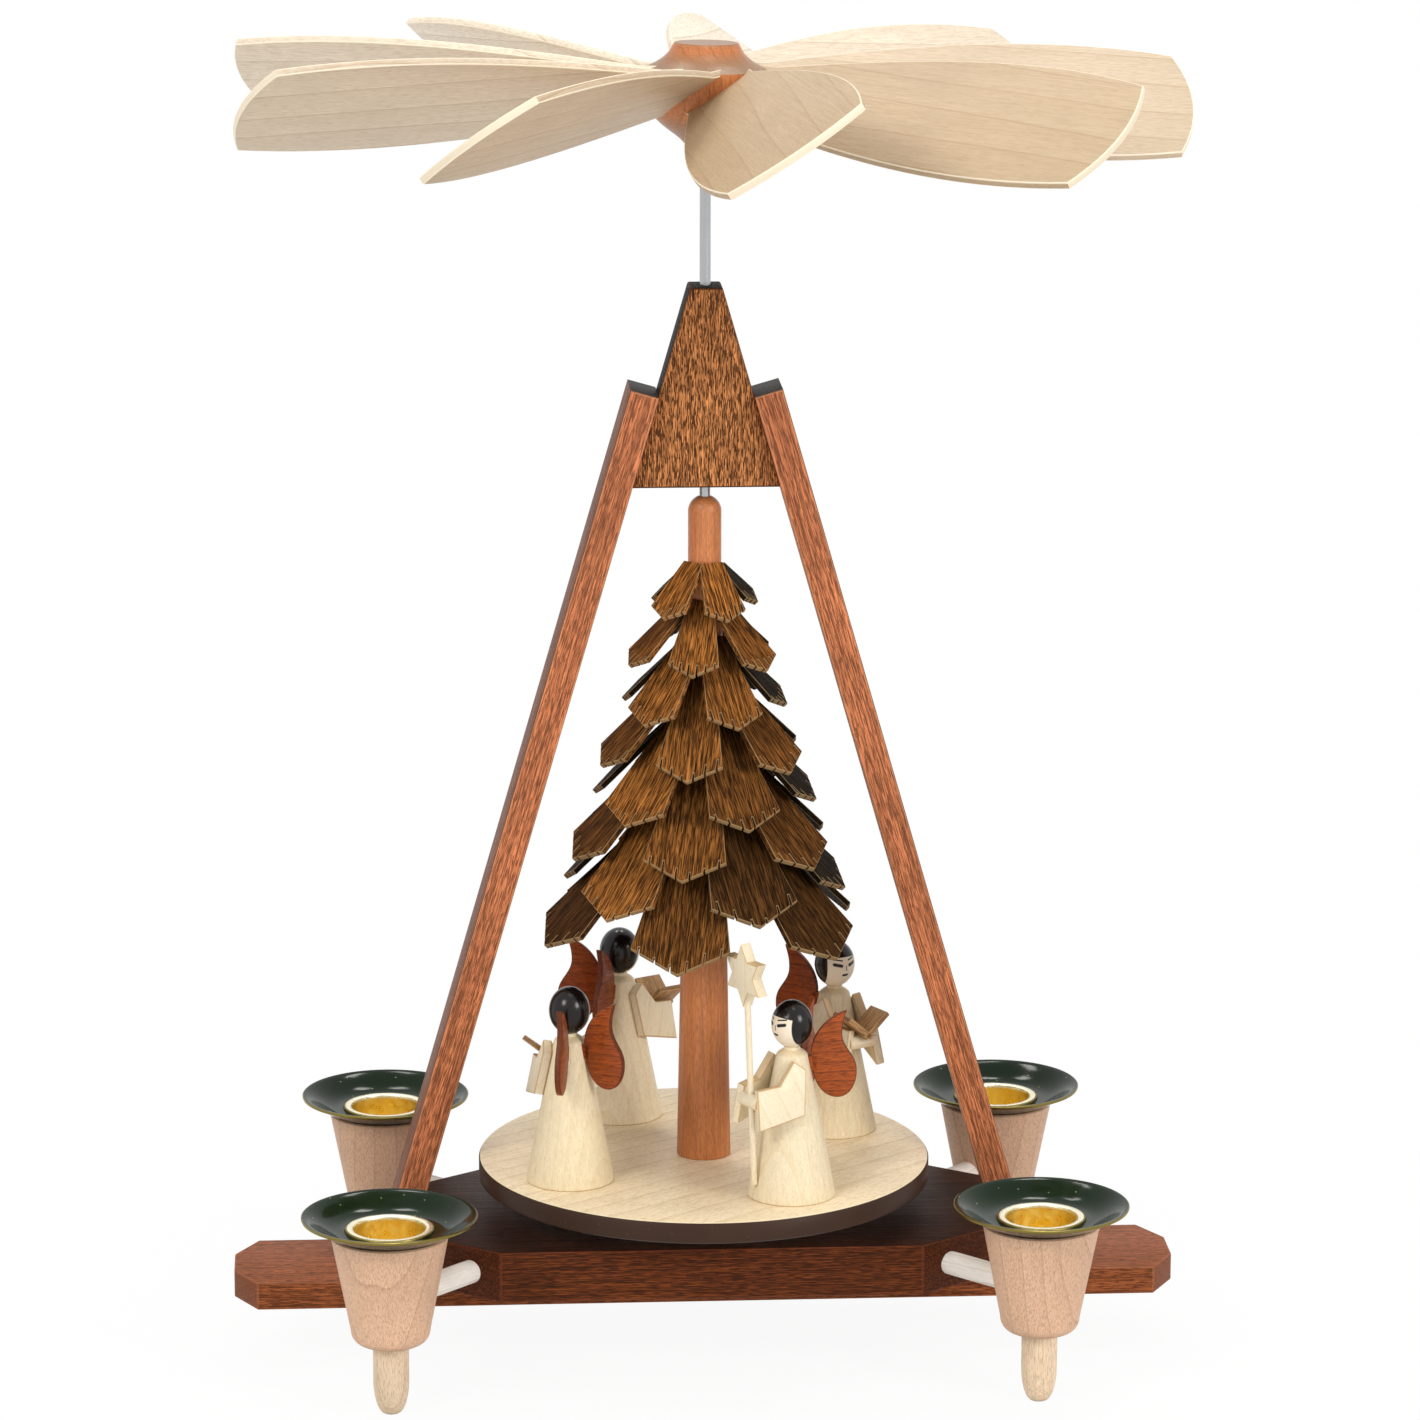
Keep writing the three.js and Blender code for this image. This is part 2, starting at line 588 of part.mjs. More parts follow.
// Turns a flat piece drawn like a blade to the pitch of the blades, about the blade's own long axis,
// then droops it and turns it to its place round the hub.
function pitched(geometry, thickness, index) {
  const aside = index === 0 ? FRONT_BLADE_TURN : 0;
  return geometry
    .translate(0, BLADE_OFFSET, -thickness / 2)
    .rotateX(BLADE_PITCH)
    .rotateY(BLADE_DROOP)
    .rotateZ(FIRST_BLADE_TURN + aside + (index * 2 * Math.PI) / BLADES);
}

function blade(index) {
  const flat = new THREE.ExtrudeGeometry(bladeShape(), {
    depth: BLADE_THICKNESS,
    bevelEnabled: false,
    curveSegments: 8,
  });
  return meshOf(`fan_blade_${index + 1}`, solidOf(pitched(flat, BLADE_THICKNESS, index)), "bladeWood");
}

// A slot of the hub, as long as the blade's root is wide and open at the hub's rim.
function bladeSlot(index) {
  const half = BLADE_ROOT_CHORD / 2 + GLUE;
  const inner = BLADE_ROOT_S - GLUE;
  const outer = HUB_RIM_R + 3 * OVERRUN;
  const thickness = BLADE_THICKNESS + 2 * GLUE;
  const flat = flatPiece([[inner, -half], [outer, -half], [outer, half], [inner, half]], thickness);
  return pitched(flat, thickness, index).translate(0, 0, BLADE_Z - HUB_BOTTOM_Z);
}

function hub() {
  const flare = HUB_RIM_R - HUB_TOP_R;
  const foot = HUB_RIM_R - HUB_FOOT_R;
  const outline = [
    [0, 0],
    [HUB_FOOT_R, 0],
    [HUB_FOOT_R + foot * 0.07, HUB_RIM_HEIGHT * 0.1],
    [HUB_FOOT_R + foot * 0.22, HUB_RIM_HEIGHT * 0.19],
    [HUB_FOOT_R + foot * 0.49, HUB_RIM_HEIGHT * 0.29],
    [HUB_FOOT_R + foot * 0.79, HUB_RIM_HEIGHT * 0.42],
    [HUB_RIM_R, HUB_RIM_HEIGHT - HUB_RIM_BAND],
    [HUB_RIM_R, HUB_RIM_HEIGHT],
    [HUB_TOP_R + flare * 0.45, HUB_RIM_HEIGHT + (HUB_HEIGHT - HUB_RIM_HEIGHT) * 0.2],
    [HUB_TOP_R + flare * 0.18, HUB_RIM_HEIGHT + (HUB_HEIGHT - HUB_RIM_HEIGHT) * 0.5],
    [HUB_TOP_R, HUB_HEIGHT - HUB_CROWN_BAND],
    [HUB_TOP_R, HUB_HEIGHT],
    [0, HUB_HEIGHT],
  ];
  let solid = solidOf(turned(outline, FINE));
  for (let index = 0; index < BLADES; index += 1) {
    solid = solid.subtract(solidOf(bladeSlot(index)));
  }
  const low = HUB_BOTTOM_Z - BLADE_Z - OVERRUN;
  const bore = roundBar(SHAFT_R + GLUE, low, SHAFT_TOP_Z - BLADE_Z + GLUE, MEDIUM)
    .applyQuaternion(fanLean().invert())
    .translate(0, 0, BLADE_Z - HUB_BOTTOM_Z);
  const mesh = meshOf("fan_hub", solid.subtract(solidOf(bore)), "hubWood");
  mesh.position.z = HUB_BOTTOM_Z - BLADE_Z;
  return mesh;
}

// The slight lean of the fan on the upright shaft, about the middle of the blades' roots.
function fanLean() {
  const axis = new THREE.Vector3(-Math.sin(FAN_LEAN_TURN), Math.cos(FAN_LEAN_TURN), 0);
  return new THREE.Quaternion().setFromAxisAngle(axis, FAN_LEAN);
}

function fan() {
  const group = new THREE.Group();
  group.name = "fan";
  group.add(hub());
  for (let index = 0; index < BLADES; index += 1) group.add(blade(index));
  group.position.z = BLADE_Z;
  group.quaternion.copy(fanLean());
  return group;
}

function cup(corner) {
  const outline = [[0, CUP_BOTTOM_Z], [CUP_FOOT_R, CUP_BOTTOM_Z]];
  for (let step = 1; step <= 4; step += 1) {
    const angle = (step * Math.PI) / 8;
    outline.push([
      CUP_FOOT_R + (CUP_WAIST_R - CUP_FOOT_R) * Math.sin(angle),
      CUP_BOTTOM_Z + CUP_ROUNDING * (1 - Math.cos(angle)),
    ]);
  }
  outline.push([CUP_TOP_R, CUP_TOP_Z], [0, CUP_TOP_Z]);
  const bore = roundBar(
    SOCKET_R + SOCKET_WALL + GLUE,
    SOCKET_FLOOR_Z - SOCKET_FLOOR,
    CUP_TOP_Z + OVERRUN,
    MEDIUM,
  );
  const pegHole = roundBar(PEG_R + GLUE, CUP_BOTTOM_Z - OVERRUN, CUP_BOTTOM_Z + PEG_SINK, COARSE);
  const solid = solidOf(turned(outline, MEDIUM))
    .subtract(solidOf(bore))
    .subtract(solidOf(pegHole))
    .subtract(solidOf(dowelBar(GLUE)));
  return meshOf(`candle_cup_${corner.name}`, solid, "cupWood");
}

function tray(corner) {
  const outer = SOCKET_R + SOCKET_WALL;
  const seat = CUP_TOP_Z + TRAY_THICKNESS;
  const outline = [
    [0, SOCKET_FLOOR_Z],
    [SOCKET_R, SOCKET_FLOOR_Z],
    [SOCKET_R, SOCKET_LIP_Z - SOCKET_LIP_EASE],
    [SOCKET_R + SOCKET_LIP_EASE, SOCKET_LIP_Z],
    [SOCKET_LIP_R - SOCKET_LIP_EASE, SOCKET_LIP_Z],
    [SOCKET_LIP_R, SOCKET_LIP_Z - SOCKET_LIP_EASE],
    [SOCKET_LIP_R, seat],
    [TRAY_SEAT_R, seat],
    [TRAY_R - TRAY_EDGE, CUP_TOP_Z + TRAY_RISE],
    [TRAY_R, CUP_TOP_Z + TRAY_RISE - TRAY_EDGE_DROP],
    [TRAY_R, CUP_TOP_Z + TRAY_RISE - TRAY_THICKNESS],
    [TRAY_SEAT_R, CUP_TOP_Z],
    [outer, CUP_TOP_Z],
    [outer, SOCKET_FLOOR_Z - SOCKET_FLOOR],
    [0, SOCKET_FLOOR_Z - SOCKET_FLOOR],
  ];
  return meshOf(`candle_tray_${corner.name}`, solidOf(turned(outline, MEDIUM)), "trayEnamel");
}

function footPeg(corner) {
  const outline = [[0, 0], [PEG_TIP_R, 0]];
  for (let step = 1; step <= 4; step += 1) {
    const angle = (step * Math.PI) / 8;
    outline.push([
      PEG_TIP_R + (PEG_R - PEG_TIP_R) * Math.sin(angle),
      PEG_TAPER_HEIGHT * (1 - Math.cos(angle)),
    ]);
  }
  outline.push([PEG_R, CUP_BOTTOM_Z + PEG_SINK], [0, CUP_BOTTOM_Z + PEG_SINK]);
  return meshOf(`foot_peg_${corner.name}`, solidOf(turned(outline, COARSE)), "pegWood");
}

// A candle cup with its tray, foot peg and dowel, turned so that the dowel runs to the block.
function candleHolder(corner) {
  const holder = new THREE.Group();
  holder.name = `candle_holder_${corner.name}`;
  const dowel = meshOf(`cup_dowel_${corner.name}`, solidOf(dowelBar(0)), "dowelWood");
  holder.add(cup(corner), tray(corner), footPeg(corner), dowel);
  holder.position.set(corner.x * CUP_X, corner.y * CUP_Y, 0);
  holder.rotation.z = corner.turn;
  return holder;
}

// Radius of an angel's skirt at a height above the platform.
function skirtRadius(z) {
  return SKIRT_R + (z / SHOULDER_Z) * (SHOULDER_R - SKIRT_R);
}

// The skirt's cone grown outwards, to trim what lies against it.
function skirtCone(clearance) {
  const outline = [
    [0, 0],
    [SKIRT_R + clearance, 0],
    [SHOULDER_R + clearance, SHOULDER_Z],
    [0, SHOULDER_Z],
  ];
  return solidOf(turned(outline, COARSE));
}

// The two tongues that hold the wings in the back of the skirt, grown by a clearance.
function wingTongues(clearance) {
  const half = WING_THICKNESS / 2 + clearance;
  const low = WING_TONGUE_Z - clearance;
  const high = WING_TONGUE_Z + WING_TONGUE_HEIGHT + clearance;
  const outer = WING_ROOT_R + WING_TONGUE_OVERLAP;
  const outline = [[-half, low], [outer, low], [outer, high], [-half, high]];
  const tongue = (turn) => solidOf(uprightPiece(outline, 2 * half, 0).rotateZ(turn));
  return tongue(Math.PI - WING_SPREAD).add(tongue(Math.PI + WING_SPREAD));
}

function angelBody(name) {
  const outline = [
    [0, 0],
    [SKIRT_R, 0],
    [SHOULDER_R, SHOULDER_Z],
    [NECK_R + NECK_FLARE, SHOULDER_Z + NECK_FLARE_RISE],
    [NECK_R, SHOULDER_Z + NECK_FLARE_RISE + NECK_CORNER],
    [NECK_R, NECK_TOP_Z],
    [0, NECK_TOP_Z],
  ];
  const solid = solidOf(turned(outline, COARSE)).subtract(wingTongues(GLUE));
  return meshOf(`${name}_body`, solid, "skirtWood");
}

// An egg-shaped head with a flat seat as wide as the neck.
function angelHead(name) {
  const drop = HEAD_HALF_HEIGHT * Math.sqrt(1 - (NECK_R / HEAD_R) ** 2);
  const start = -Math.asin(drop / HEAD_HALF_HEIGHT);
  const steps = 9;
  const outline = [[0, -drop]];
  for (let step = 0; step < steps; step += 1) {
    const angle = start + ((Math.PI / 2 - start) * step) / steps;
    outline.push([HEAD_R * Math.cos(angle), HEAD_HALF_HEIGHT * Math.sin(angle)]);
  }
  outline.push([0, HEAD_HALF_HEIGHT]);
  const mesh = meshOf(`${name}_head`, solidOf(turned(outline, COARSE)), "faceWood");
  mesh.position.z = NECK_TOP_Z + drop;
  return mesh;
}

// One wing: pointed at the top, hollow below the point on its outer side, with a round lobe below.
function wingShape() {
  const w = WING_WIDTH;
  const h = WING_HEIGHT;
  const shape = new THREE.Shape();
  shape.moveTo(w * 0.78, h);
  shape.bezierCurveTo(w * 0.3, h * 0.93, -w * 0.1, h * 0.66, w * 0.02, h * 0.4);
  shape.bezierCurveTo(w * 0.06, h * 0.12, w * 0.32, 0, w * 0.58, 0);
  shape.bezierCurveTo(w * 0.9, 0, w * 1.03, h * 0.2, w, h * 0.34);
  shape.bezierCurveTo(w * 0.97, h * 0.5, w * 0.7, h * 0.56, w * 0.68, h * 0.72);
  shape.bezierCurveTo(w * 0.67, h * 0.84, w * 0.73, h * 0.92, w * 0.78, h);
  return shape;
}

function angelWings(name) {
  const wing = (turn) =>
    solidOf(
      new THREE.ExtrudeGeometry(wingShape(), {
        depth: WING_THICKNESS,
        bevelEnabled: false,
        curveSegments: 5,
      })
        .rotateX(Math.PI / 2)
        .translate(WING_ROOT_R, WING_THICKNESS / 2, WING_BOTTOM_Z)
        .rotateZ(turn),
    );
  const pair = wing(Math.PI - WING_SPREAD).add(wing(Math.PI + WING_SPREAD));
  const solid = pair.subtract(skirtCone(SKIN_GAP)).add(wingTongues(0));
  return meshOf(`${name}_wings`, solid, "wingWood");
}

// One sleeve, leaning with the skirt's side and toed in to bring its cuff to the front.
function sleeve(side) {
  const outline = [
    [SLEEVE_TOP_X, SLEEVE_TOP_Z],
    [UPPER_ARM_WIDTH - ELBOW_CORNER_X, ELBOW_Z + ELBOW_CORNER_RISE],
    [SLEEVE_REACH, ELBOW_Z],
    [SLEEVE_REACH, CUFF_BOTTOM_Z],
    [SLEEVE_BACK_X, CUFF_BOTTOM_Z + SLEEVE_HEM_RISE],
    [SLEEVE_TOP_X - UPPER_ARM_WIDTH / 2, SLEEVE_TOP_Z - SLEEVE_SLANT],
  ];
  const slope = Math.atan((SKIRT_R - SHOULDER_R) / SHOULDER_Z);
  const board = uprightPiece(outline, SLEEVE_THICKNESS, SLEEVE_THICKNESS / 2)
    .rotateX(slope)
    .translate(0, SKIRT_R + SKIN_GAP, 0)
    .rotateZ(-SLEEVE_TOE_IN);
  return solidOf(side > 0 ? board : board.scale(1, -1, 1));
}

// The open book: two covers that rise from a spine along X.
function openBook() {
  const cover = (side) =>
    flatPiece(
      [
        [-BOOK_LENGTH / 2, -BOOK_SPINE],
        [BOOK_LENGTH / 2, -BOOK_SPINE],
        [BOOK_LENGTH / 2, BOOK_COVER],
        [-BOOK_LENGTH / 2, BOOK_COVER],
      ],
      BOOK_THICKNESS,
    )
      .rotateX(BOOK_OPENING)
      .scale(1, side, 1)
      .translate(HAND_X, 0, HAND_Z + HAND_R - BOOK_IN_HANDS);
  return solidOf(cover(1)).add(solidOf(cover(-1)));
}

// Half the distance between the two cuffs at the hands, from the sleeves' own planes.
function cuffHalfGap() {
  const across = skirtRadius(HAND_Z) + SKIN_GAP - HAND_X * Math.sin(SLEEVE_TOE_IN);
  return across / Math.cos(SLEEVE_TOE_IN);
}

function staffBar(clearance) {
  const low = STAFF_ABOVE_PLATFORM - HAND_Z;
  return roundBar(STAFF_R + clearance, low, STAFF_TOP_Z - HAND_Z, COARSE / 2)
    .rotateY(STAFF_LEAN)
    .translate(HAND_X, 0, HAND_Z);
}

function angelArms(name, holdsBook) {
  const reach = cuffHalfGap() + SLEEVE_THICKNESS / 2;
  const hands = roundBar(HAND_R, -reach, reach, COARSE)
    .rotateX(Math.PI / 2)
    .translate(HAND_X, 0, HAND_Z);
  const arms = sleeve(1).add(sleeve(-1)).add(solidOf(hands));
  const solid = holdsBook ? arms.add(openBook()) : arms.subtract(solidOf(staffBar(GLUE)));
  return meshOf(holdsBook ? `${name}_arms_and_book` : `${name}_arms`, solid, "paleWood");
}

// The star on its staff, its flat side facing the way the angel walks.
function starStaff(name) {
  const points = [];
  for (let k = 0; k < 12; k += 1) {
    const radius = k % 2 === 0 ? STAR_R : STAR_INNER_R;
    const angle = (k * Math.PI) / 6;
    points.push([radius * Math.sin(angle), radius * Math.cos(angle)]);
  }
  const star = uprightPiece(points, STAR_THICKNESS, 0)
    .rotateZ(Math.PI / 2)
    .translate(0, 0, STAR_Z - HAND_Z)
    .rotateY(STAFF_LEAN)
    .translate(HAND_X, 0, HAND_Z);
  return meshOf(`${name}_star_staff`, solidOf(staffBar(0)).add(solidOf(star)), "paleWood");
}

// An angel that stands on the platform and faces about along its rim, clockwise as seen from above.
function angel(index) {
  const figure = new THREE.Group();
  const name = `angel_${index + 1}`;
  const holdsBook = index > 0;
  figure.name = name;
  figure.add(angelBody(name), angelHead(name), angelWings(name), angelArms(name, holdsBook));
  if (!holdsBook) figure.add(starStaff(name));
  const turn = FIRST_ANGEL_TURN + (index * 2 * Math.PI) / ANGELS;
  figure.position.set(ANGEL_RING_R * Math.cos(turn), ANGEL_RING_R * Math.sin(turn), PLATFORM_TOP_Z);
  figure.rotation.z = turn - Math.PI / 2 + ANGEL_TURNS[index];
  return figure;
}

function stand() {
  const group = new THREE.Group();
  group.name = "stand";
  group.add(baseBar(), baseBlock(), pivotCup(), headBlock());
  group.add(leg("leg_left", -1), leg("leg_right", 1));
  for (const corner of CORNERS) group.add(candleHolder(corner));
  return group;
}

function rotor() {
  const group = new THREE.Group();
  group.name = "rotor";
  group.add(shaft(), platform(), trunk(), fan());
  for (let index = 0; index < LAYERS; index += 1) group.add(treeLayer(index));
  for (let index = 0; index < ANGELS; index += 1) group.add(angel(index));
  return group;
}

const pyramid = new THREE.Group();
pyramid.name = "christmas_pyramid";
pyramid.add(stand(), rotor());

export default pyramid;
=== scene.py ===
"""The looks of a table-top Christmas pyramid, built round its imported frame.

A wooden stand carries four candle cups with enamelled trays, and a rotor turns on a steel shaft: a
nine-bladed fan, a fir tree of wooden shingles and four angels on a round platform. Metres, +Z up,
front towards -Y. Sizes in the code are written in millimetres and multiplied by MM.
"""

import math

import bmesh
import bpy
from bpy.props import FloatProperty, FloatVectorProperty, IntProperty, PointerProperty
from mathutils import Matrix, Vector
from mathutils.geometry import interpolate_bezier


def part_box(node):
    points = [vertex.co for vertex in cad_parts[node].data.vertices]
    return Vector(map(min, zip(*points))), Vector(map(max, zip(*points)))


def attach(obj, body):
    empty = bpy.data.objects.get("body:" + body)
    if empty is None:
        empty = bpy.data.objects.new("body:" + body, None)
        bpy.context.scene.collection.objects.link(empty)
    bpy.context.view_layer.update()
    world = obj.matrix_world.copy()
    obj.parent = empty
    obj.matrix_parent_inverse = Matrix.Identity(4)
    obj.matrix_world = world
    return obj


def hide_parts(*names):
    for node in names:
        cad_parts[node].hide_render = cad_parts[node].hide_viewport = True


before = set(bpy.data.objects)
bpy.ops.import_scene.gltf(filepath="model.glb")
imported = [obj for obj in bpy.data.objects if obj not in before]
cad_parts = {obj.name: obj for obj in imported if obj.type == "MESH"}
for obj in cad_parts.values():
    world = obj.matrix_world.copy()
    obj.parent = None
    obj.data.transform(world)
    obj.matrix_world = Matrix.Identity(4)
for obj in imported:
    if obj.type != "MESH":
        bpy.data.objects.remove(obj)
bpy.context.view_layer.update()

bl_info = {
    "name": "Christmas Pyramid",
    "version": (1, 0, 0),
    "blender": (4, 5, 0),
    "location": "View3D > Sidebar > Pyramid",
    "description": "Builds the visible wood, enamel and metal of a Christmas pyramid on its frame",
    "category": "Object",
}

MM = 0.001
FINE = 72  # facets round a large turned piece
SMALL = 40  # facets round a small turned piece
HEAD_FACETS = 64
BORE_FACETS = 24
STAFF_FACETS = 20
SMOOTH_BELOW = math.radians(38)  # faces that meet at a smaller angle look like one surface
ROTOR = "rotor"
STAND = "stand"

# Stand
BAR_CLIP_X = 5
BAR_CLIP_Y = 9
BLOCK_FRONT_WIDTH = 89
HEAD_TOP_WIDTH = 6.8
LEG_TILT = math.radians(16.15)
LEG_WIDTH = 6.1
LEG_TOP_Z = 207.2
SHAFT_BORE_R = 1.45

# Shaft and its lower bearing
SHAFT_R = 1.15
SHAFT_POINT = 2.2
PIVOT_R = 3.2
PIVOT_GLUE = 0.1
SHAFT_PLAY = 0.05
PIVOT_WELL_R = 1.7
PIVOT_WELL_DEPTH = 3.2

# Platform and trunk
PLATFORM_TOP_Z = 41.7
PLATFORM_EDGE = 0.45
TRUNK_BASE_R = 5.75
TRUNK_TOP_R = 3.5
TRUNK_CONE_HEIGHT = 129
TRUNK_HEIGHT = 143.8

# Shingles of the tree, in rings from top to bottom
LAYERS = 8
SHINGLES = 6
SHINGLE_THICKNESS = 1.2
SHINGLE_EASING = 0.13
SHINGLE_LEAN = math.radians(45)
SHINGLE_TURN = math.radians(-102.5)
FIRST_TIP_R = 13.2
TIP_R_STEP = 3.15
FIRST_TIP_Z = 160.6
TIP_Z_STEP = 11.2
TIP_Z_EASING = 0.17  # brings the rings closer together from top to bottom
FIRST_SHINGLE_WIDTH = 9
SHINGLE_WIDTH_STEP = 1.7
SHINGLE_POINT = 0.28  # length of the blunt point over the shingle's width
SHINGLE_ROOT = 0.72  # half the width at the trunk over the trunk's radius
SHINGLE_IN_TRUNK = 0.6
BACK_TIP_CUT = 2.6  # the shingles at the back are shorter
BACK_DROP = 1  # and sit lower

# Fan; S is a distance along a blade from the shaft's axis
HUB_BOTTOM_Z = 257
HUB_HEIGHT = 23
HUB_TOP_R = 6.8
HUB_RIM_R = 12.9
HUB_RIM_HEIGHT = 17.8
HUB_FOOT_R = 3.1
BLADES = 9
FIRST_BLADE_TURN = math.radians(-80.7)
FRONT_BLADE_TURN = math.radians(-3.5)  # this blade is glued a little aside
BLADE_PITCH = math.radians(34.3)
BLADE_DROOP = math.radians(1.4)
BLADE_Z = 269.6
BLADE_OFFSET = 1.7
BLADE_THICKNESS = 1.6
BLADE_ROOT_S = 7.8
BLADE_NECK_S = 12.5
BLADE_CORNER_S = 97.7
BLADE_BULGE = 3.5
BLADE_ROOT_CHORD = 16
BLADE_TIP_CHORD = 30.8
BLADE_INNER_BELLY = 30.5
BLADE_OUTER_BELLY = 42
FAN_LEAN = math.radians(2)
FAN_LEAN_TURN = math.radians(55)

# Candle holders
CUP_X = 67.75
CUP_Y = 43.17
CUP_BOTTOM_Z = 15.4
CUP_HEIGHT = 23.7
CUP_TOP_R = 12.25
CUP_WAIST_R = 8.3
CUP_ROUNDING = 3
CUP_FOOT_R = 5.4
SOCKET_R = 7.5
SOCKET_WALL = 0.5
SOCKET_DEPTH = 11.6
SOCKET_FLOOR = 0.8
SOCKET_LIP_R = 9.35
SOCKET_LIP_HEIGHT = 1.3
SOCKET_PLAY = 0.05
# height of the near-white band at the socket's mouth: a painted reflection
REFLECTION_BAND_HEIGHT = 0.9
TRAY_R = 18.3
TRAY_RISE = 3.9
TRAY_SEAT_R = 10.4
TRAY_THICKNESS = 0.6
PEG_R = 3.75
PEG_SINK = 5.5
PEG_TIP_R = 1.3
PEG_TAPER_HEIGHT = 7
DOWEL_R = 2.5
DOWEL_Z = 24.5
DOWEL_TURN = math.radians(46)
DOWEL_IN_BLOCK = 6
DOWEL_IN_CUP = 4.2

# Angels
ANGELS = 4
FIRST_ANGEL_TURN = math.radians(-60.5)
ANGEL_RING_R = 33.7
ANGEL_TURNS = (0, 0, 0, math.radians(-9))  # the last angel is glued askew
SKIRT_R = 9.3
SHOULDER_Z = 30.9
SHOULDER_R = 3.2
NECK_R = 1.7
NECK_TOP_Z = 32.4
HEAD_R = 4.35
HEAD_HALF_HEIGHT = 5.1
WING_SPREAD = math.radians(34)
WING_THICKNESS = 1.2
WING_WIDTH = 9.6
WING_HEIGHT = 18.8
WING_BOTTOM_Z = 21.3
WING_ROOT_R = 3.9
WING_TONGUE_Z = 27.2
WING_TONGUE_HEIGHT = 3
SLEEVE_THICKNESS = 2
SLEEVE_TOE_IN = math.radians(15)
SLEEVE_TOP_Z = 30.7
SLEEVE_REACH = 9.8
ELBOW_Z = 25.2
CUFF_BOTTOM_Z = 16.6
UPPER_ARM_WIDTH = 5.2
HAND_R = 1.5
HAND_X = 10.2
HAND_Z = 22
BOOK_LENGTH = 6.2
BOOK_COVER = 7
BOOK_THICKNESS = 1.1
BOOK_OPENING = math.radians(40)
STAFF_R = 0.65
STAFF_LEAN = math.radians(2.6)
STAFF_BOTTOM_Z = 3.6
STAFF_TOP_Z = 46
STAR_POINTS = 6
STAR_Z = 49.4
STAR_R = 6.8
STAR_INNER_R = 3.8
STAR_THICKNESS = 2.4
STAR_EASING = 0.15
BOOK_EASING = 0.12
SLEEVE_GAP = 0.12  # between a sleeve and the skirt

# The photograph's view: where the camera stands, how it is turned, and its lens and film in millimetres
CAMERA_TURN = math.radians(-3.65)
CAMERA_PITCH = math.radians(13.264)
CAMERA_ROLL = math.radians(0.108)
CAMERA_PLACE = Vector((-0.07547, -1.20162, 0.42306))
CAMERA_LENS = 148.81
CAMERA_SENSOR = 36

# Stage, in metres and watts
WHITE = (1, 1, 1)
AMBIENT = 0.58
FLOOR_R = 12
LAMP_TARGET = Vector((0, 0, 0.13))
SOFTBOXES = (
    ("key_softbox", (-1.7, -1.9, 1.9), (0.9, 0.9), 34.0, (1.0, 0.98, 0.95)),
    ("fill_softbox", (1.9, -1.9, 1.2), (0.8, 0.9), 32.0, (1.0, 0.98, 0.95)),
    ("top_softbox", (0.1, -0.2, 1.6), (0.6, 0.6), 6.0, (1.0, 0.99, 0.97)),
    ("top_softbox_left", (-0.22, 0.65, 1.2), (0.2, 0.16), 1.8, (1.0, 0.98, 0.94)),
    ("top_softbox_right", (0.22, 0.65, 1.2), (0.2, 0.16), 1.8, (1.0, 0.98, 0.94)),
)


def linear(value):
    """Linear red, green and blue of an sRGB hex colour such as "8f4a33"."""
    parts = [int(value[i : i + 2], 16) / 255 for i in (0, 2, 4)]
    return tuple(c / 12.92 if c <= 0.04045 else ((c + 0.055) / 1.055) ** 2.4 for c in parts)


def length(name, description, millimetres):
    """A length that the user may change, kept in metres."""
    return FloatProperty(
        name=name, description=description, default=millimetres * MM, min=0, unit="LENGTH", precision=5
    )


def colour(name, description, value):
    """A colour that the user may change."""
    return FloatVectorProperty(
        name=name, description=description, default=linear(value), min=0, max=1, size=3, subtype="COLOR"
    )


class PyramidSizes(bpy.types.PropertyGroup):
    """Sizes of the edges, saw cuts and rounded parts that the frame's solids leave plain"""

    board_easing: length("Board easing", "Width of the eased edges on the boards of the stand", 0.35)
    thin_easing: length("Thin board easing", "Width of the eased edges on blades, wings and sleeves", 0.25)
    slit_depth: length("Slit depth", "Depth of the saw cuts in the tips of the shingles", 2.3)
    slit_width: length("Slit width", "Width of the saw cuts in the tips of the shingles", 0.42)
    slits: IntProperty(
        name="Slits", description="Number of saw cuts in the tip of each shingle", default=6, min=0, max=16
    )


class PyramidColours(bpy.types.PropertyGroup):
    """Colours of the stained woods, the enamel and the metals"""

    mahogany: colour("Mahogany", "Red-brown stain of the lower bar", "9c5730")
    mahogany_dark: colour("Dark mahogany", "Stain of the upper board", "6a3414")
    leg: colour("Legs", "Stain of the two legs", "c0744c")
    head: colour("Head", "Stain of the head of the frame", "c98450")
    maple: colour("Maple", "Clear-finished wood of the platform", "f6e4c2")
    blade: colour("Blades", "Clear-finished wood of the fan", "b9a182")
    alder: colour("Alder", "Stain of the fan's hub and the tree's trunk", "c87d4a")
    cup: colour("Cups", "Stain of the candle cups", "d8b294")
    skirt: colour("Skirts", "Clear-finished wood of the angels", "ebdec2")
    wing: colour("Wings", "Stain of the angels' wings", "a24c1a")
    shingle: colour("Shingles", "Warm stain of the shingles", "bd7838")
    # nearly black: the shingles' darker stain, and the painted shade of their undersides and of the back
    # slips that face aside
    shingle_dark_and_shade: colour("Darker shingles", "Cool stain of the shingles", "1c160b")
    enamel: colour("Enamel", "Green of the candle trays", "11220f")
    brass: colour("Brass", "Brass of the sockets and the lower bearing", "ffe684")


def sizes():
    return bpy.context.scene.pyramid_sizes


def colours():
    return bpy.context.scene.pyramid_colours


# Shapes


def blank():
    """An empty mesh in which each point can carry its place in the wood, and each face its wear."""
    bm = bmesh.new()
    bm.verts.layers.float_vector.new("grain")
    for name in ("cut", "wear_and_edge_highlight", "tone_and_painted_light"):
        bm.faces.layers.float.new(name)
    return bm


def joined(*parts):
    """One mesh from several, each still a body of its own."""
    whole = blank()
    for part in parts:
        carrier = new_mesh("carrier", part)
        whole.from_mesh(carrier)
        bpy.data.meshes.remove(carrier)
    return whole


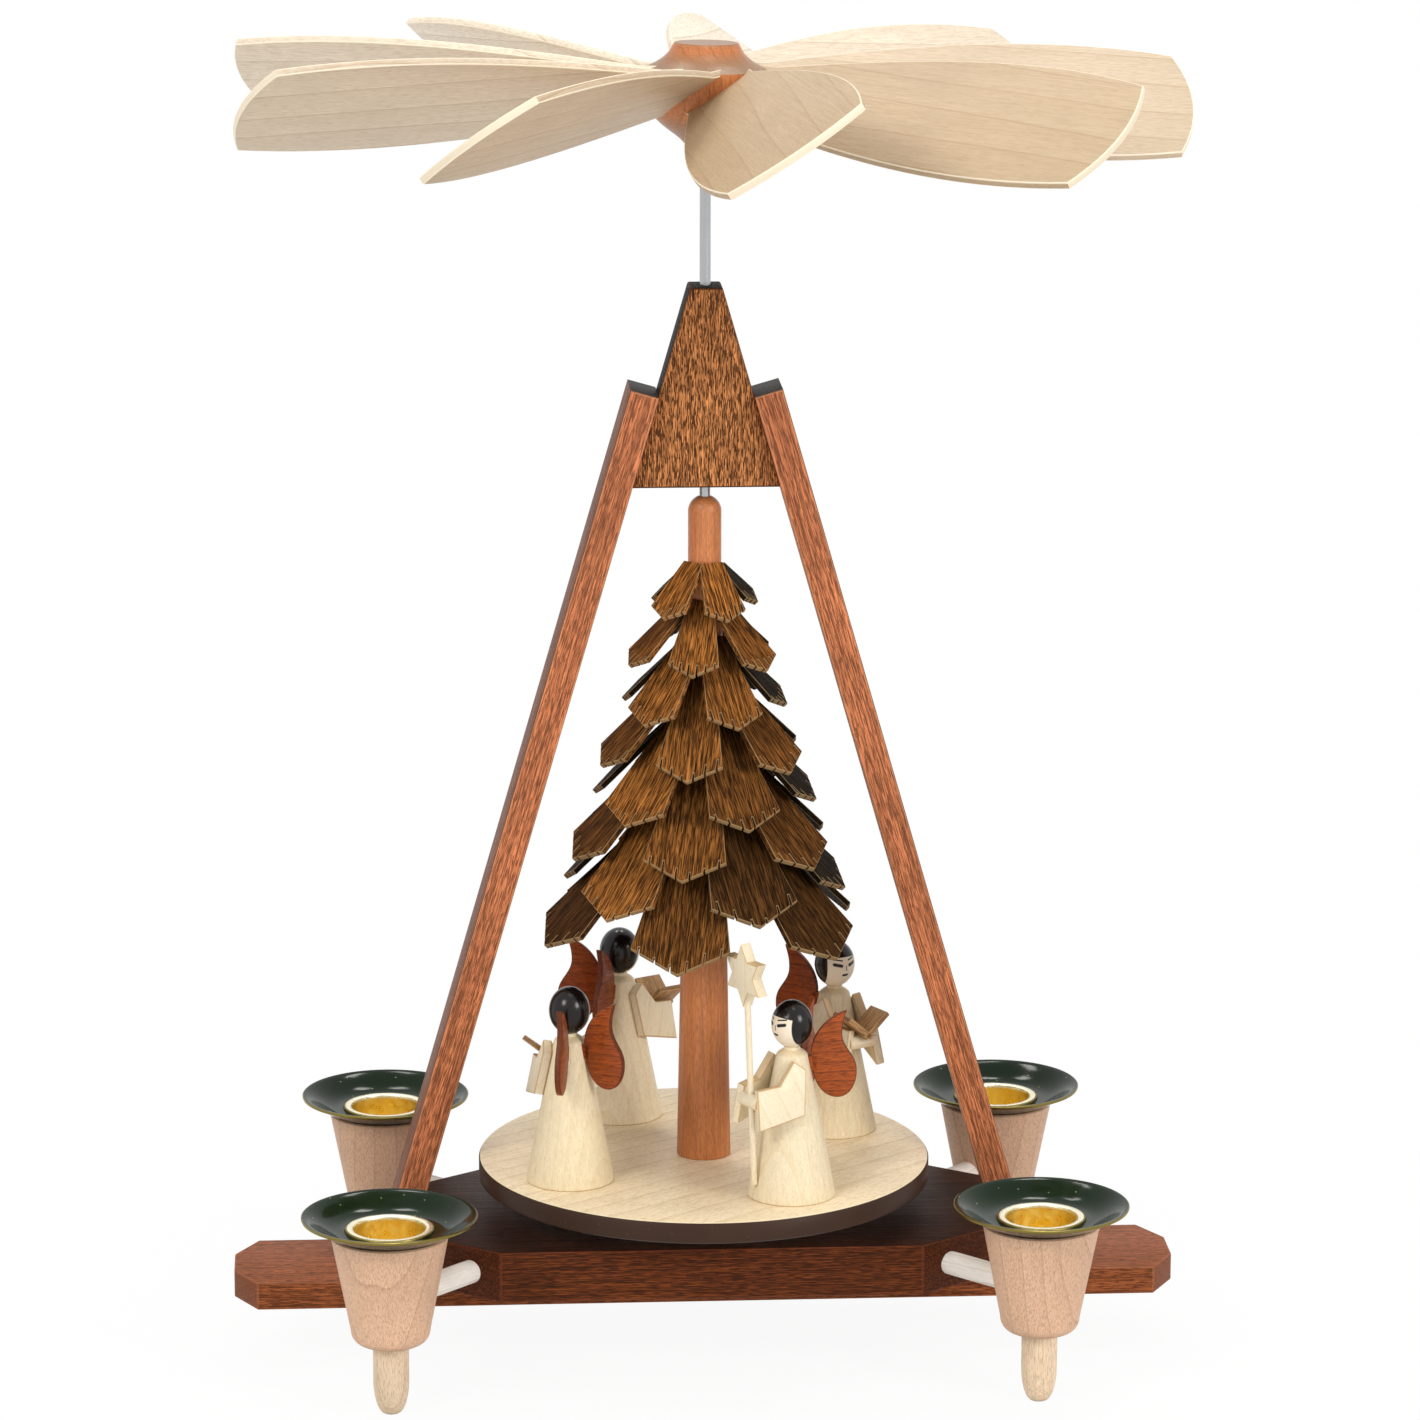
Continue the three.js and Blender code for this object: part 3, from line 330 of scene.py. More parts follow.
def ease(bm, edges, width):
    """Rounds edges over a width in metres and marks the new faces for the edge colour: wear, and on the
    pale-edged mahogany a painted highlight.
    """
    made = bmesh.ops.bevel(
        bm, geom=edges, offset=width, offset_type="OFFSET", affect="EDGES", segments=2, profile=0.5,
        clamp_overlap=True, material=-1,
    )
    wear_and_edge_highlight = bm.faces.layers.float["wear_and_edge_highlight"]
    for face in made["faces"]:
        face[wear_and_edge_highlight] = 1
        face.smooth = True


def move_made(bm, made, rise):
    """Raises the points that an extrusion has made, and gives them."""
    points = [v for v in made["geom"] if isinstance(v, bmesh.types.BMVert)]
    bmesh.ops.translate(bm, vec=(0, 0, rise), verts=points)
    return points


def board(outline, thickness, easing):
    """A flat board on z = 0, cut to an outline of (x, y) corners, the edges of its two sides eased."""
    bm = blank()
    face = bm.faces.new([bm.verts.new((x * MM, y * MM, 0)) for x, y in outline])
    move_made(bm, bmesh.ops.extrude_face_region(bm, geom=[face]), thickness * MM)
    bmesh.ops.recalc_face_normals(bm, faces=bm.faces)
    if easing:
        rims = [e for e in bm.edges if e.calc_face_angle(0) > math.radians(80)]
        flat = [e for e in rims if abs(e.verts[0].co.z - e.verts[1].co.z) < 1e-7]
        ease(bm, flat, easing)
    return bm


def turned(profile, steps=FINE):
    """A piece turned about Z from its half outline of (radius, height) corners."""
    bm = blank()
    points = [bm.verts.new((r * MM, 0, z * MM)) for r, z in profile]
    lines = [bm.edges.new(pair) for pair in zip(points, points[1:])]
    bmesh.ops.spin(
        bm, geom=points + lines, cent=(0, 0, 0), axis=(0, 0, 1), angle=2 * math.pi, steps=steps,
        use_merge=True,
    )
    bmesh.ops.remove_doubles(bm, verts=bm.verts, dist=1e-6)
    bmesh.ops.recalc_face_normals(bm, faces=bm.faces)
    for face in bm.faces:
        face.smooth = True
    return bm


def softened(profile, radius, rows=4):
    """Rounds the corners of a half outline to a radius, apart from its two ends."""
    corners = [Vector(point) for point in profile]
    rounded = [corners[0]]
    for before, corner, after in zip(corners, corners[1:], corners[2:]):
        back, on = before - corner, after - corner
        reach = min(radius, 0.45 * back.length, 0.45 * on.length)
        start, end = corner + reach * back.normalized(), corner + reach * on.normalized()
        for row in range(rows + 1):
            t = row / rows
            rounded.append((1 - t) ** 2 * start + 2 * t * (1 - t) * corner + t**2 * end)
    return [tuple(point) for point in [*rounded, corners[-1]]]


def drawn(start, *strokes, rows=12):
    """Corners along an outline: a stroke of one point is a straight line, one of three a curve."""
    points = [Vector(start)]
    for run in strokes:
        *handles, end = [Vector(point) for point in run]
        if handles:
            points.extend(interpolate_bezier(points[-1], *handles, end, rows + 1)[1:])
        else:
            points.append(end)
    return [tuple(point) for point in points]


def grained(bm, along=(1, 0, 0), seed=0, tone_and_painted_light=0.5):
    """Gives each point its place in the plank it was cut from, x along the grain, and each face how
    far it cuts across the grain and its tone between the wood's two colours, which on shingles and
    blades also carries painted light and shade."""
    turn = Vector(along).rotation_difference(Vector((1, 0, 0))).to_matrix()
    # each seed comes from another stretch of the trunk, and a little nearer to its pith or further off
    shift = Vector((0.31 * seed, 0.004 * math.sin(2.3 * seed), 0.003 * math.cos(1.7 * seed)))
    grain = bm.verts.layers.float_vector["grain"]
    values = bm.faces.layers.float
    for vert in bm.verts:
        vert[grain] = turn @ vert.co + shift
    bm.normal_update()
    for face in bm.faces:
        face[values["cut"]] = abs((turn @ face.normal).x)
        face[values["tone_and_painted_light"]] = tone_and_painted_light
    return bm


def placed(bm, matrix):
    """Moves a mesh, and keeps its faces outwards where the matrix mirrors it."""
    bmesh.ops.transform(bm, matrix=matrix, verts=bm.verts)
    if matrix.determinant() < 0:
        bmesh.ops.reverse_faces(bm, faces=bm.faces)
    return bm


def new_mesh(name, bm, *materials):
    mesh = bpy.data.meshes.new(name)
    bm.to_mesh(mesh)
    bm.free()
    for material in materials:
        mesh.materials.append(material)
    return mesh


def new_object(name, data):
    """An object in the scene, at the origin and unturned."""
    thing = bpy.data.objects.new(name, data)
    bpy.context.scene.collection.objects.link(thing)
    return thing


def finished(node, bm, body, slot, *materials):
    """Puts a piece in the scene in place of its CAD node."""
    mesh = new_mesh(node + "_fine", bm, *materials)
    mesh.set_sharp_from_angle(angle=SMOOTH_BELOW)
    piece = new_object(node + "_fine", mesh)
    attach(piece, body)
    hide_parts(node)


def about(axis, angle):
    return Matrix.Rotation(angle, 4, axis)


def at(x, y, z):
    return Matrix.Translation((x * MM, y * MM, z * MM))


def raised(z):
    """Lifts a piece to a height in metres."""
    return Matrix.Translation((0, 0, z))


def mirrored(side):
    """Turns a piece made for the left arm, side 1, into its mirror image for the right, side -1."""
    return Matrix.Diagonal((1, side, 1, 1))


def upright(y=0):
    """Stands a board drawn in x and z on its edge, its thickness running towards -Y from y."""
    return at(0, y, 0) @ about("X", math.pi / 2)


# Materials

MIDDLE = {"From Min": 0.3, "From Max": 0.7}  # nearly all of a noise's values lie between these


def add(tree, kind, inputs=None, stops=(), **settings):
    """Adds a shader node with its settings, its values and links by input and its ramp's stops, and
    gives its outputs."""
    node = tree.nodes.new("ShaderNode" + kind)
    for name, value in settings.items():
        setattr(node, name, value)
    for key, value in (inputs or {}).items():
        if isinstance(value, bpy.types.NodeSocket):
            tree.links.new(value, node.inputs[key])
        elif node.inputs[key].type == "RGBA" and len(value) == 3:
            node.inputs[key].default_value = (*value, 1)
        else:
            node.inputs[key].default_value = value
    for index, (position, shade) in enumerate(stops):
        elements = node.color_ramp.elements
        element = elements[index] if index < len(elements) else elements.new(position)
        element.position = position
        element.color = (*shade, 1)
    return node.outputs


def made_once(draw):
    """Lets a drawing function make the material of a name once, and gives that one from then on."""

    def material_of(name, *values, **named):
        if name not in bpy.data.materials:
            material = bpy.data.materials.new(name)
            material.use_nodes = True
            material.node_tree.nodes.clear()
            draw(material.node_tree, *values, **named)
        return bpy.data.materials[name]

    return material_of


def surface(tree, height, strength, depth, inputs):
    """Ends a material in its shader, with a relief whose depth is in millimetres."""
    bump = add(tree, "Bump", {"Height": height, "Strength": strength, "Distance": depth * MM})[0]
    shader = add(tree, "BsdfPrincipled", {**inputs, "Normal": bump})[0]
    add(tree, "OutputMaterial", {"Surface": shader})


def per_metre(millimetres):
    """The scale of a pattern whose marks have this size."""
    return 1000 / millimetres


def darker(shade, share):
    return tuple(c * share for c in shade)


@made_once
def wood(
    tree, early, late, other=None, ring=3.0, ring_contrast=0.6, ring_line=(0.8, 0.95), pith=(0, 12, 9),
    lean=(0, 0.25, 0.2), wobble=3.0, fibre=(9, 0.35), fibre_depth=0.18, pore=(2.6, 0.32), pore_share=0.42,
    pore_colour=None, pore_depth=0.7, mottle=0.1, end_colour=None, end_depth=0.5, end_range=(0.45, 0.9),
    wear_and_highlight_colour=None, wear_and_highlight_depth=0.4, roughness=0.5, shine=0.25, relief=0.05,
):
    """A plank's own figure: growth rings round a pith, fibres, pores, end grain and an edge colour on
    eased edges, which is wear and, on the pale-edged mahogany, a painted highlight. All lengths are in
    millimetres, and the pattern follows the plank, however the piece is cut. Pores are a little wider
    than real ones where those would be too fine to show."""
    grain = add(tree, "Attribute", attribute_name="grain")["Vector"]
    values = ("tone_and_painted_light", "cut", "wear_and_edge_highlight")
    tone_and_painted_light, cut, wear_and_edge_highlight = (add(tree, "Attribute", attribute_name=value)["Fac"] for value in values)

    # the rings are drawn out along the trunk; a wave texture of scale 1 has one every pi / 10
    trunk = {"Vector": grain, "Location": pith, "Rotation": lean, "Scale": (120, 1000, 1000)}
    wave = {
        "Vector": add(tree, "Mapping", trunk)[0], "Scale": math.pi / 10 / ring, "Distortion": wobble,
        "Detail": 2.0, "Detail Scale": 0.6, "Detail Roughness": 0.55,
    }
    rings = add(tree, "TexWave", wave, wave_type="RINGS", rings_direction="X", wave_profile="SAW")["Fac"]
    faint, full = (ring_contrast * 0.3,) * 3, (ring_contrast,) * 3
    stops = [(0.0, (0, 0, 0)), (ring_line[0], faint), (ring_line[1], full)]
    line = add(tree, "ValToRGB", {"Fac": rings}, stops)["Color"]

    # fibres and pores are noise drawn out along the grain, from the length and width of one
    streaks = []
    for (size, width), detail, rough in ((fibre, 3.0, 0.65), (pore, 1.0, 0.4)):
        scale = (per_metre(size), per_metre(width), per_metre(width))
        stretched = add(tree, "Mapping", {"Vector": grain, "Scale": scale})[0]
        noise = {"Vector": stretched, "Scale": 1.0, "Detail": detail, "Roughness": rough}
        streaks.append(add(tree, "TexNoise", noise)[0])
    fibres, speckle = streaks
    rare = 0.64 - 0.35 * pore_share  # what a noise seldom, or for a larger share often, comes above
    pores = add(tree, "MapRange", {"Value": speckle, "From Min": rare, "From Max": rare + 0.06})[0]
    # clouds of shade, about 22 mm wide
    clouds = add(tree, "TexNoise", {"Vector": grain, "Scale": 45.0, "Detail": 2.0})[0]
    lights = [
        add(tree, "MapRange", {"Value": noise, **MIDDLE, "To Min": 1 - depth, "To Max": 1 + depth})[0]
        for noise, depth in ((fibres, fibre_depth), (clouds, mottle))
    ]
    light = add(tree, "Math", dict(enumerate(lights)), operation="MULTIPLY")[0]

    # colour: the rings on the stain, then pores, end grain and the edge colour (wear, and on some woods a
    # painted highlight), each by its own share
    stain = add(tree, "Mix", {0: tone_and_painted_light, 6: early, 7: other or early}, data_type="RGBA")[2]
    figure = add(tree, "Mix", {0: line, 6: stain, 7: late}, data_type="RGBA")[2]
    shade = add(tree, "HueSaturation", {"Color": figure, "Value": light})[0]
    across = {"Value": cut, "From Min": end_range[0], "From Max": end_range[1]}
    layers = (
        (pores, pore_depth, pore_colour or darker(late, 0.45)),
        (add(tree, "MapRange", across)[0], end_depth, end_colour or darker(late, 0.6)),
        (wear_and_edge_highlight, wear_and_highlight_depth, wear_and_highlight_colour or early),
    )
    for amount, depth, above in layers:
        share = add(tree, "Math", {0: amount, 1: depth}, operation="MULTIPLY")[0]
        shade = add(tree, "Mix", {0: share, 6: shade, 7: above}, data_type="RGBA")[2]
    uneven = {"Value": fibres, **MIDDLE, "To Min": roughness + 0.08, "To Max": roughness - 0.06}
    gloss = add(tree, "MapRange", uneven)[0]
    height = add(tree, "Math", {0: fibres, 1: pores}, operation="SUBTRACT")[0]
    looks = {"Base Color": shade, "Roughness": gloss, "Specular IOR Level": shine}
    surface(tree, height, 0.6, relief, looks)


def mahogany_bar():
    """Stained mahogany, planed and thinly oiled: open pores as dark dashes, a soft satin shine."""
    base = colours().mahogany
    return wood(
        "stained_mahogany_bar", base, darker(base, 0.5), ring=2.4, fibre=(14, 0.3), fibre_depth=0.5,
        # the paler edge colour: partly rubbed stain, partly a painted highlight where the edges catch the
        # light
        pore=(2.2, 0.2), end_colour=linear("693e28"), wear_and_highlight_colour=linear("b0704f"), wear_and_highlight_depth=0.3,
        shine=0.12, relief=0.06,
    )


def mahogany_block():
    """The same mahogany under a darker stain, nearly black where the light leaves it."""
    base = colours().mahogany_dark
    return wood(
        "dark_mahogany_block", base, darker(base, 0.45), ring=2.2, fibre=(18, 0.35), fibre_depth=0.7,
        pore=(3.0, 0.2), pore_share=0.45, pore_depth=0.75, end_colour=linear("331b11"),
        # the paler edge colour: partly rubbed stain, partly a painted highlight where the edges catch the
        # light
        wear_and_highlight_colour=linear("8a4a30"), wear_and_highlight_depth=0.3, shine=0.12, relief=0.06,
    )


def block_top_painted_shade():
    """The block's upper side, darkened to nearly black: painted shade of the platform that lies over it."""
    base = darker(colours().mahogany_dark, 0.3)
    return wood(
        "black_stained_mahogany_top", base, darker(base, 0.5), ring=2.2, fibre=(30, 0.45), fibre_depth=0.5,
        pore=(2.0, 0.2), shine=0.12, relief=0.06,
    )


def mahogany_leg():
    """Lighter mahogany strips with long dark dashes along the leg and a dark sealed end."""
    base = colours().leg
    return wood(
        "stained_mahogany_leg", base, darker(base, 0.55), ring=1.7, ring_contrast=0.4, fibre=(24, 0.3),
        fibre_depth=0.6, pore=(2.6, 0.15), pore_share=0.4, pore_depth=0.8, end_colour=linear("231916"),
        # the paler edge colour: partly rubbed stain, partly a painted highlight where the edges catch the
        # light
        end_depth=1.0, wear_and_highlight_colour=linear("d9996f"), shine=0.15, relief=0.06,
    )


def leg_side_painted_shade():
    """The legs' outer sides: the leg's mahogany darkened as painted shade."""
    base = darker(colours().leg, 0.4)
    return wood(
        "stained_mahogany_leg_side", base, darker(base, 0.55), ring=1.7, fibre=(24, 0.3), fibre_depth=0.5,
        pore=(3.0, 0.18), end_colour=linear("231916"), end_depth=1.0, shine=0.15, relief=0.06,
    )


def mahogany_head():
    """Quarter-sawn mahogany with strong dark streaks down the grain and black end grain; the black also
    covers the head's slanted sides as painted shade.
    """
    base = colours().head
    return wood(
        "streaked_mahogany_head", base, darker(base, 0.35), ring=1.1, fibre=(7, 0.22), fibre_depth=0.7,
        pore=(1.5, 0.15), pore_share=0.48, pore_colour=linear("2a140a"), pore_depth=0.85,
        # the end range reaches the slanted sides, which take the near-black end colour as painted shade
        end_colour=linear("14100d"), end_depth=1.0, end_range=(0.1, 0.27), wear_and_highlight_colour=linear("7a4a2c"),
        shine=0.04, relief=0.06,
    )


def alder_trunk():
    """Turned alder with an orange-brown stain: fine even grain and a soft shine."""
    base = colours().alder
    return wood(
        "stained_alder_trunk", base, darker(base, 0.62), ring=1.6, ring_contrast=0.4, pith=(0, 0, 2),
        lean=(0, 0.1, 0.08), fibre=(18, 0.35), fibre_depth=0.16, pore=(1.6, 0.16), pore_share=0.35,
        pore_depth=0.3, roughness=0.36, shine=0.4, relief=0.03,
    )


def alder_hub():
    """The hub's alder, cut so that its rings show as slanting lines on the flare."""
    base = colours().alder
    return wood(
        "stained_alder_hub", base, darker(base, 0.6), ring=1.3, pith=(0, 14, 3), lean=(0, 0.9, 0.3),
        pore=(1.4, 0.17), pore_share=0.3, pore_depth=0.35, end_colour=linear("7a6348"), end_depth=0.8,
        roughness=0.32, shine=0.3, relief=0.03,
    )


def shingle_bark():
    """Thin slips of stained walnut, sawn and not sanded: coarse dark fibres, pale raw cuts."""
    looks = colours()
    return wood(
        # the second colour, nearly black, is also the painted shade of undersides and of slips that face
        # aside
        "stained_walnut_shingle", looks.shingle, linear("3a2412"), other=looks.shingle_dark_and_shade, ring=1.3,
        ring_contrast=0.5, fibre=(12, 0.5), fibre_depth=0.8, pore=(3.5, 0.22), pore_colour=linear("140c05"),
        pore_depth=0.75, end_colour=linear("ab8e66"), end_depth=0.65, wear_and_highlight_colour=linear("b89a70"),
        wear_and_highlight_depth=0.5, roughness=0.75, shine=0.05, relief=0.15,
    )


def maple_blade():
    """Clear-lacquered maple veneer board: pale, with thin brown growth lines and cream edges."""
    return wood(
        # the paler second colour paints the light on the blades towards the back of the fan
        "lacquered_maple_blade", colours().blade, linear("9c7a58"), other=linear("efe3d1"), ring=5.5,
        ring_contrast=0.4, ring_line=(0.93, 0.985), pith=(0, 21, 7), wobble=3.2, fibre=(16, 0.5),
        fibre_depth=0.06, pore=(2.2, 0.25), pore_share=0.35, pore_colour=linear("a58a66"), pore_depth=0.25,
        mottle=0.04, end_colour=linear("f3e6cd"), end_depth=0.8, wear_and_highlight_colour=linear("f6ead2"),
        wear_and_highlight_depth=0.8, relief=0.02,
    )


def maple_platform():
    """Clear-lacquered maple: pale and even, with fine slanting flecks."""
    return wood(
        "lacquered_maple_platform", colours().maple, linear("cbab7c"), ring=4.5, ring_contrast=0.35,
        pith=(0, 40, 12), fibre=(5, 0.3), fibre_depth=0.05, pore=(1.3, 0.16), pore_share=0.3,
        pore_colour=linear("b8945f"), pore_depth=0.35, mottle=0.05, end_depth=0.1,
        wear_and_highlight_colour=linear("f2e3c0"), wear_and_highlight_depth=0.6, roughness=0.42, relief=0.015,
    )


def beech_cup():
    """Turned beech with a rosy stain: brown cathedral arches and fine specks."""
    return wood(
        "stained_beech_cup", colours().cup, linear("8d6148"), ring=3.6, ring_contrast=0.3,
        ring_line=(0.9, 0.98), pith=(0, 3, 16), lean=(0, 0.5, 0.25), wobble=5.0, fibre=(7, 0.3),
        fibre_depth=0.08, pore=(1.3, 0.16), pore_share=0.35, pore_colour=linear("8d6148"), pore_depth=0.35,
        end_colour=linear("a98566"), relief=0.03,
    )


def beech_peg():
    """Plain beech with fine upright streaks, sanded smooth."""
    return wood(
        "turned_beech_peg", linear("ead2b4"), linear("c9a67f"), ring=1.6, ring_contrast=0.4,
        fibre=(8, 0.25), fibre_depth=0.1, pore=(1.4, 0.15), pore_share=0.3, pore_depth=0.35,
        roughness=0.45, relief=0.02,
    )


def birch_dowel():
    """Bare birch dowel, nearly white."""
    return wood(
        "bare_birch_dowel", linear("f4eee6"), linear("cdbfae"), ring=2.0, ring_contrast=0.4,
        fibre=(8, 0.3), fibre_depth=0.05, pore_colour=linear("b5a08a"), pore_depth=0.12,
        end_colour=linear("dccdb8"), roughness=0.55, relief=0.02,
    )


def lime_skirt():
    """Clear-finished lime wood: ivory, with straight yellow grain lines up the cone."""
    return wood(
        "turned_lime_skirt", colours().skirt, linear("d6bb88"), other=linear("ead8b0"), ring=2.3,
        ring_contrast=0.25, ring_line=(0.7, 0.97), pith=(0, 6, 3), lean=(0, 0.15, 0.1), wobble=1.6,
        fibre=(16, 0.5), fibre_depth=0.08, pore=(1.6, 0.15), pore_share=0.25,
        pore_colour=linear("bf9c66"), pore_depth=0.2, mottle=0.04, end_colour=linear("d9bf8d"),
        roughness=0.42, relief=0.015,
    )


def lime_board():
    """Thin lime boards for sleeves, star and staff, with tan sawn edges."""
    return wood(
        "sawn_lime_board", colours().skirt, linear("dcc597"), ring=2.6, ring_contrast=0.35,
        fibre=(9, 0.3), fibre_depth=0.05, pore=(1.4, 0.15), pore_share=0.25,
        pore_colour=linear("bf9c66"), pore_depth=0.2, mottle=0.04, end_colour=linear("c9a26a"),
        end_depth=0.7, wear_and_highlight_colour=linear("c49a63"), wear_and_highlight_depth=0.7, roughness=0.45, relief=0.015,
    )


def book_board():
    """Stained beech for the books' covers: tan, with darker cut edges."""
    return wood(
        "stained_beech_book", linear("bb9264"), linear("8f673f"), ring=1.8, fibre=(6, 0.25),
        fibre_depth=0.15, pore_depth=0.4, end_colour=linear("7c5837"), wear_and_highlight_colour=linear("d6b486"),
        wear_and_highlight_depth=0.7, relief=0.03,
    )


def veneer_wing():
    """Red-brown veneer for the wings, its dark grain running level, with burnt-looking edges."""
    base = colours().wing
    return wood(
        "stained_veneer_wing", base, darker(base, 0.42), ring=1.3, ring_contrast=0.7,
        ring_line=(0.75, 0.95), wobble=4.5, fibre=(6, 0.25), fibre_depth=0.3, pore=(1.6, 0.16),
        pore_share=0.3, pore_depth=0.5, end_colour=linear("3b1c10"), end_depth=0.6,
        wear_and_highlight_colour=linear("4c2414"), wear_and_highlight_depth=0.6, roughness=0.4, relief=0.04,
    )


@made_once
def coat_of_paint(tree, shade, roughness, fleck=None):
    """A smooth opaque film with a faint orange peel, a few pale specks, which are dust on the rim and
    painted glints on the enamel, and slightly uneven gloss.
    """
    where = add(tree, "TexCoord")["Object"]
    peel = add(tree, "TexNoise", {"Vector": where, "Scale": per_metre(1.111), "Detail": 2.0})[0]
    drift = add(tree, "TexNoise", {"Vector": where, "Scale": per_metre(14.29), "Detail": 3.0})[0]
    dust_and_glints = add(tree, "TexVoronoi", {"Vector": where, "Scale": per_metre(2.381)})["Distance"]
    specks = add(tree, "MapRange", {"Value": dust_and_glints, "From Min": 0.09, "From Max": 0.05})[0]
    patchy = {0: drift, 6: darker(shade, 0.75), 7: darker(shade, 1.25)}
    shaded = add(tree, "Mix", patchy, data_type="RGBA")[2]
    with_dust_and_glints = add(tree, "Mix", {0: specks, 6: shaded, 7: fleck or darker(shade, 2.0)}, data_type="RGBA")[2]
    uneven = {"Value": drift, "To Min": roughness * 0.7, "To Max": roughness * 1.4}
    gloss = add(tree, "MapRange", uneven)[0]
    surface(tree, peel, 0.15, 0.02, {"Base Color": with_dust_and_glints, "Roughness": gloss, "Specular IOR Level": 0.14})


@made_once
def metal(tree, shade, roughness, sizes_of_marks):
    """Bare metal: the marks of the tool, whose sizes in millimetres along x, y and z are coarser than
    real ones so that they show, and patchy tarnish."""
    where = add(tree, "TexCoord")["Object"]
    scale = [per_metre(size) for size in sizes_of_marks]
    stretched = add(tree, "Mapping", {"Vector": where, "Scale": scale})[0]
    marks = add(tree, "TexNoise", {"Vector": stretched, "Scale": 1.0, "Detail": 2.0})[0]
    patches = add(tree, "TexNoise", {"Vector": where, "Scale": per_metre(6.25), "Detail": 3.0})[0]
    tarnished = add(tree, "Mix", {0: patches, 6: darker(shade, 0.85), 7: shade}, data_type="RGBA")[2]
    uneven = {"Value": marks, **MIDDLE, "To Min": roughness * 0.7, "To Max": roughness * 1.4}
    gloss = add(tree, "MapRange", uneven)[0]
    surface(tree, marks, 0.2, 0.02, {"Base Color": tarnished, "Metallic": 1.0, "Roughness": gloss})


def tray_enamel():
    """Baked bottle-green enamel on spun brass: a deep glossy film that mirrors the room."""
    # the pale flecks on the enamel are painted glints
    return coat_of_paint("baked_green_enamel", colours().enamel, 0.12, fleck=linear("8c9a5a"))


def gilt_edge():
    """The bare brass that shows where the enamel is wiped off a spun edge."""
    return metal("bare_brass_edge", linear("87793f"), 0.35, (2.5, 2.5, 0.25))


def socket_painted_reflection():
    """The upper wall of the socket and the inner edge of its lip, brass so pale that it reads as cream: a
    painted reflection of the softboxes.
    """
    return metal("polished_brass_wall", linear("fff8dc"), 0.3, (3.333, 3.333, 0.2))


def socket_brass():
    """Spun brass at the bottom of the socket, a warm clear yellow."""
    return metal("spun_brass_socket", colours().brass, 0.35, (1.667, 1.667, 1.667))


def rim_paint():
    """Dark brown stain on the platform's edge, smooth and a little shiny."""
    return coat_of_paint("dark_rim_stain", linear("3a281e"), 0.4)


def shaft_steel():
    """Drawn bright steel with fine marks along its length."""
    return metal("drawn_steel_shaft", linear("b9bbbd"), 0.25, (0.3333, 0.3333, 16.67))


# Stand


def stand_outline(half_length, half_depth, clip_x, clip_y):
    """A rectangle with its four corners cut off."""
    quarter = [(half_length - clip_x, -half_depth), (half_length, -half_depth + clip_y)]
    right = quarter + [(x, -y) for x, y in reversed(quarter)]
    return right + [(-x, -y) for x, y in right]


def sunk(bm, radius, depth):
    """Sinks a round blind hole into a board's flat top, about Z."""
    lid = max((f for f in bm.faces if f.normal.z > 0.9), key=lambda f: f.calc_area())
    top = lid.verts[0].co.z
    bmesh.ops.delete(bm, geom=[lid], context="FACES_ONLY")
    bmesh.ops.create_circle(bm, segments=SMALL, radius=radius, matrix=raised(top))
    circle = [e for e in bm.edges if e.is_wire]
    rim = [e for e in bm.edges if e.is_boundary]
    bmesh.ops.triangle_fill(bm, edges=rim + circle, use_beauty=True, normal=(0, 0, 1))
    move_made(bm, bmesh.ops.extrude_edge_only(bm, edges=circle), -depth)
    bmesh.ops.holes_fill(bm, edges=bm.edges, sides=0)
    bmesh.ops.recalc_face_normals(bm, faces=bm.faces)


def flat_board(node, clip_x, clip_y, slot, seed, material, top, well=False):
    """One of the two level boards of the base, where the frame has it."""
    low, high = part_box(node)
    outline = stand_outline(high.x / MM, high.y / MM, clip_x, clip_y)
    plank = board(outline, (high.z - low.z) / MM, sizes().board_easing)
    verticals = [e for e in plank.edges if abs(e.verts[0].co.z - e.verts[1].co.z) > (high.z - low.z) / 2]
    ease(plank, verticals, sizes().board_easing)
    if well:
        sunk(plank, (PIVOT_R + PIVOT_GLUE) * MM, high.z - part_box("pivot_cup")[0].z)
    grained(placed(plank, raised(low.z)), seed=seed)
    # faces that look up take the second material; on the block that is its top, darkened as painted shade
    for face in plank.faces:
        face.material_index = 1 if face.normal.z > 0.9 else 0
    finished(node, plank, STAND, slot, material, top)


def frame_half_width(z):
    """Half the width of the frame's inside at a height."""
    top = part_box("head_block")[1].z / MM
    return HEAD_TOP_WIDTH / 2 + (top - z) * math.tan(LEG_TILT)


def head_piece():
    """The head: a rectangle round the shaft's bore, drawn down and widened to its foot."""
    low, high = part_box("head_block")
    half_depth = high.y
    bm = blank()
    corners = [(1, 1), (-1, 1), (-1, -1), (1, -1)]
    half_top = HEAD_TOP_WIDTH / 2 * MM
    rim = [bm.verts.new((x * half_top, y * half_depth, high.z)) for x, y in corners]
    for pair in zip(rim, rim[1:] + rim[:1]):
        bm.edges.new(pair)
    bmesh.ops.create_circle(bm, segments=BORE_FACETS, radius=SHAFT_BORE_R * MM, matrix=raised(high.z))
    bmesh.ops.triangle_fill(bm, edges=bm.edges, use_beauty=True)
    made = bmesh.ops.extrude_face_region(bm, geom=list(bm.faces))
    for vert in move_made(bm, made, low.z - high.z):
        if abs(vert.co.y) > 0.9 * half_depth:
            vert.co.x = math.copysign(high.x, vert.co.x)
    bmesh.ops.recalc_face_normals(bm, faces=bm.faces)
    outside = [e for e in bm.edges if all(abs(v.co.y) > 0.9 * half_depth for v in e.verts)]
    ease(bm, [e for e in outside if e.calc_face_angle(0) > math.radians(40)], sizes().board_easing)
    grained(bm, along=(0, 0, 1), seed=3)
    finished("head_block", bm, STAND, "head_wood", mahogany_head())


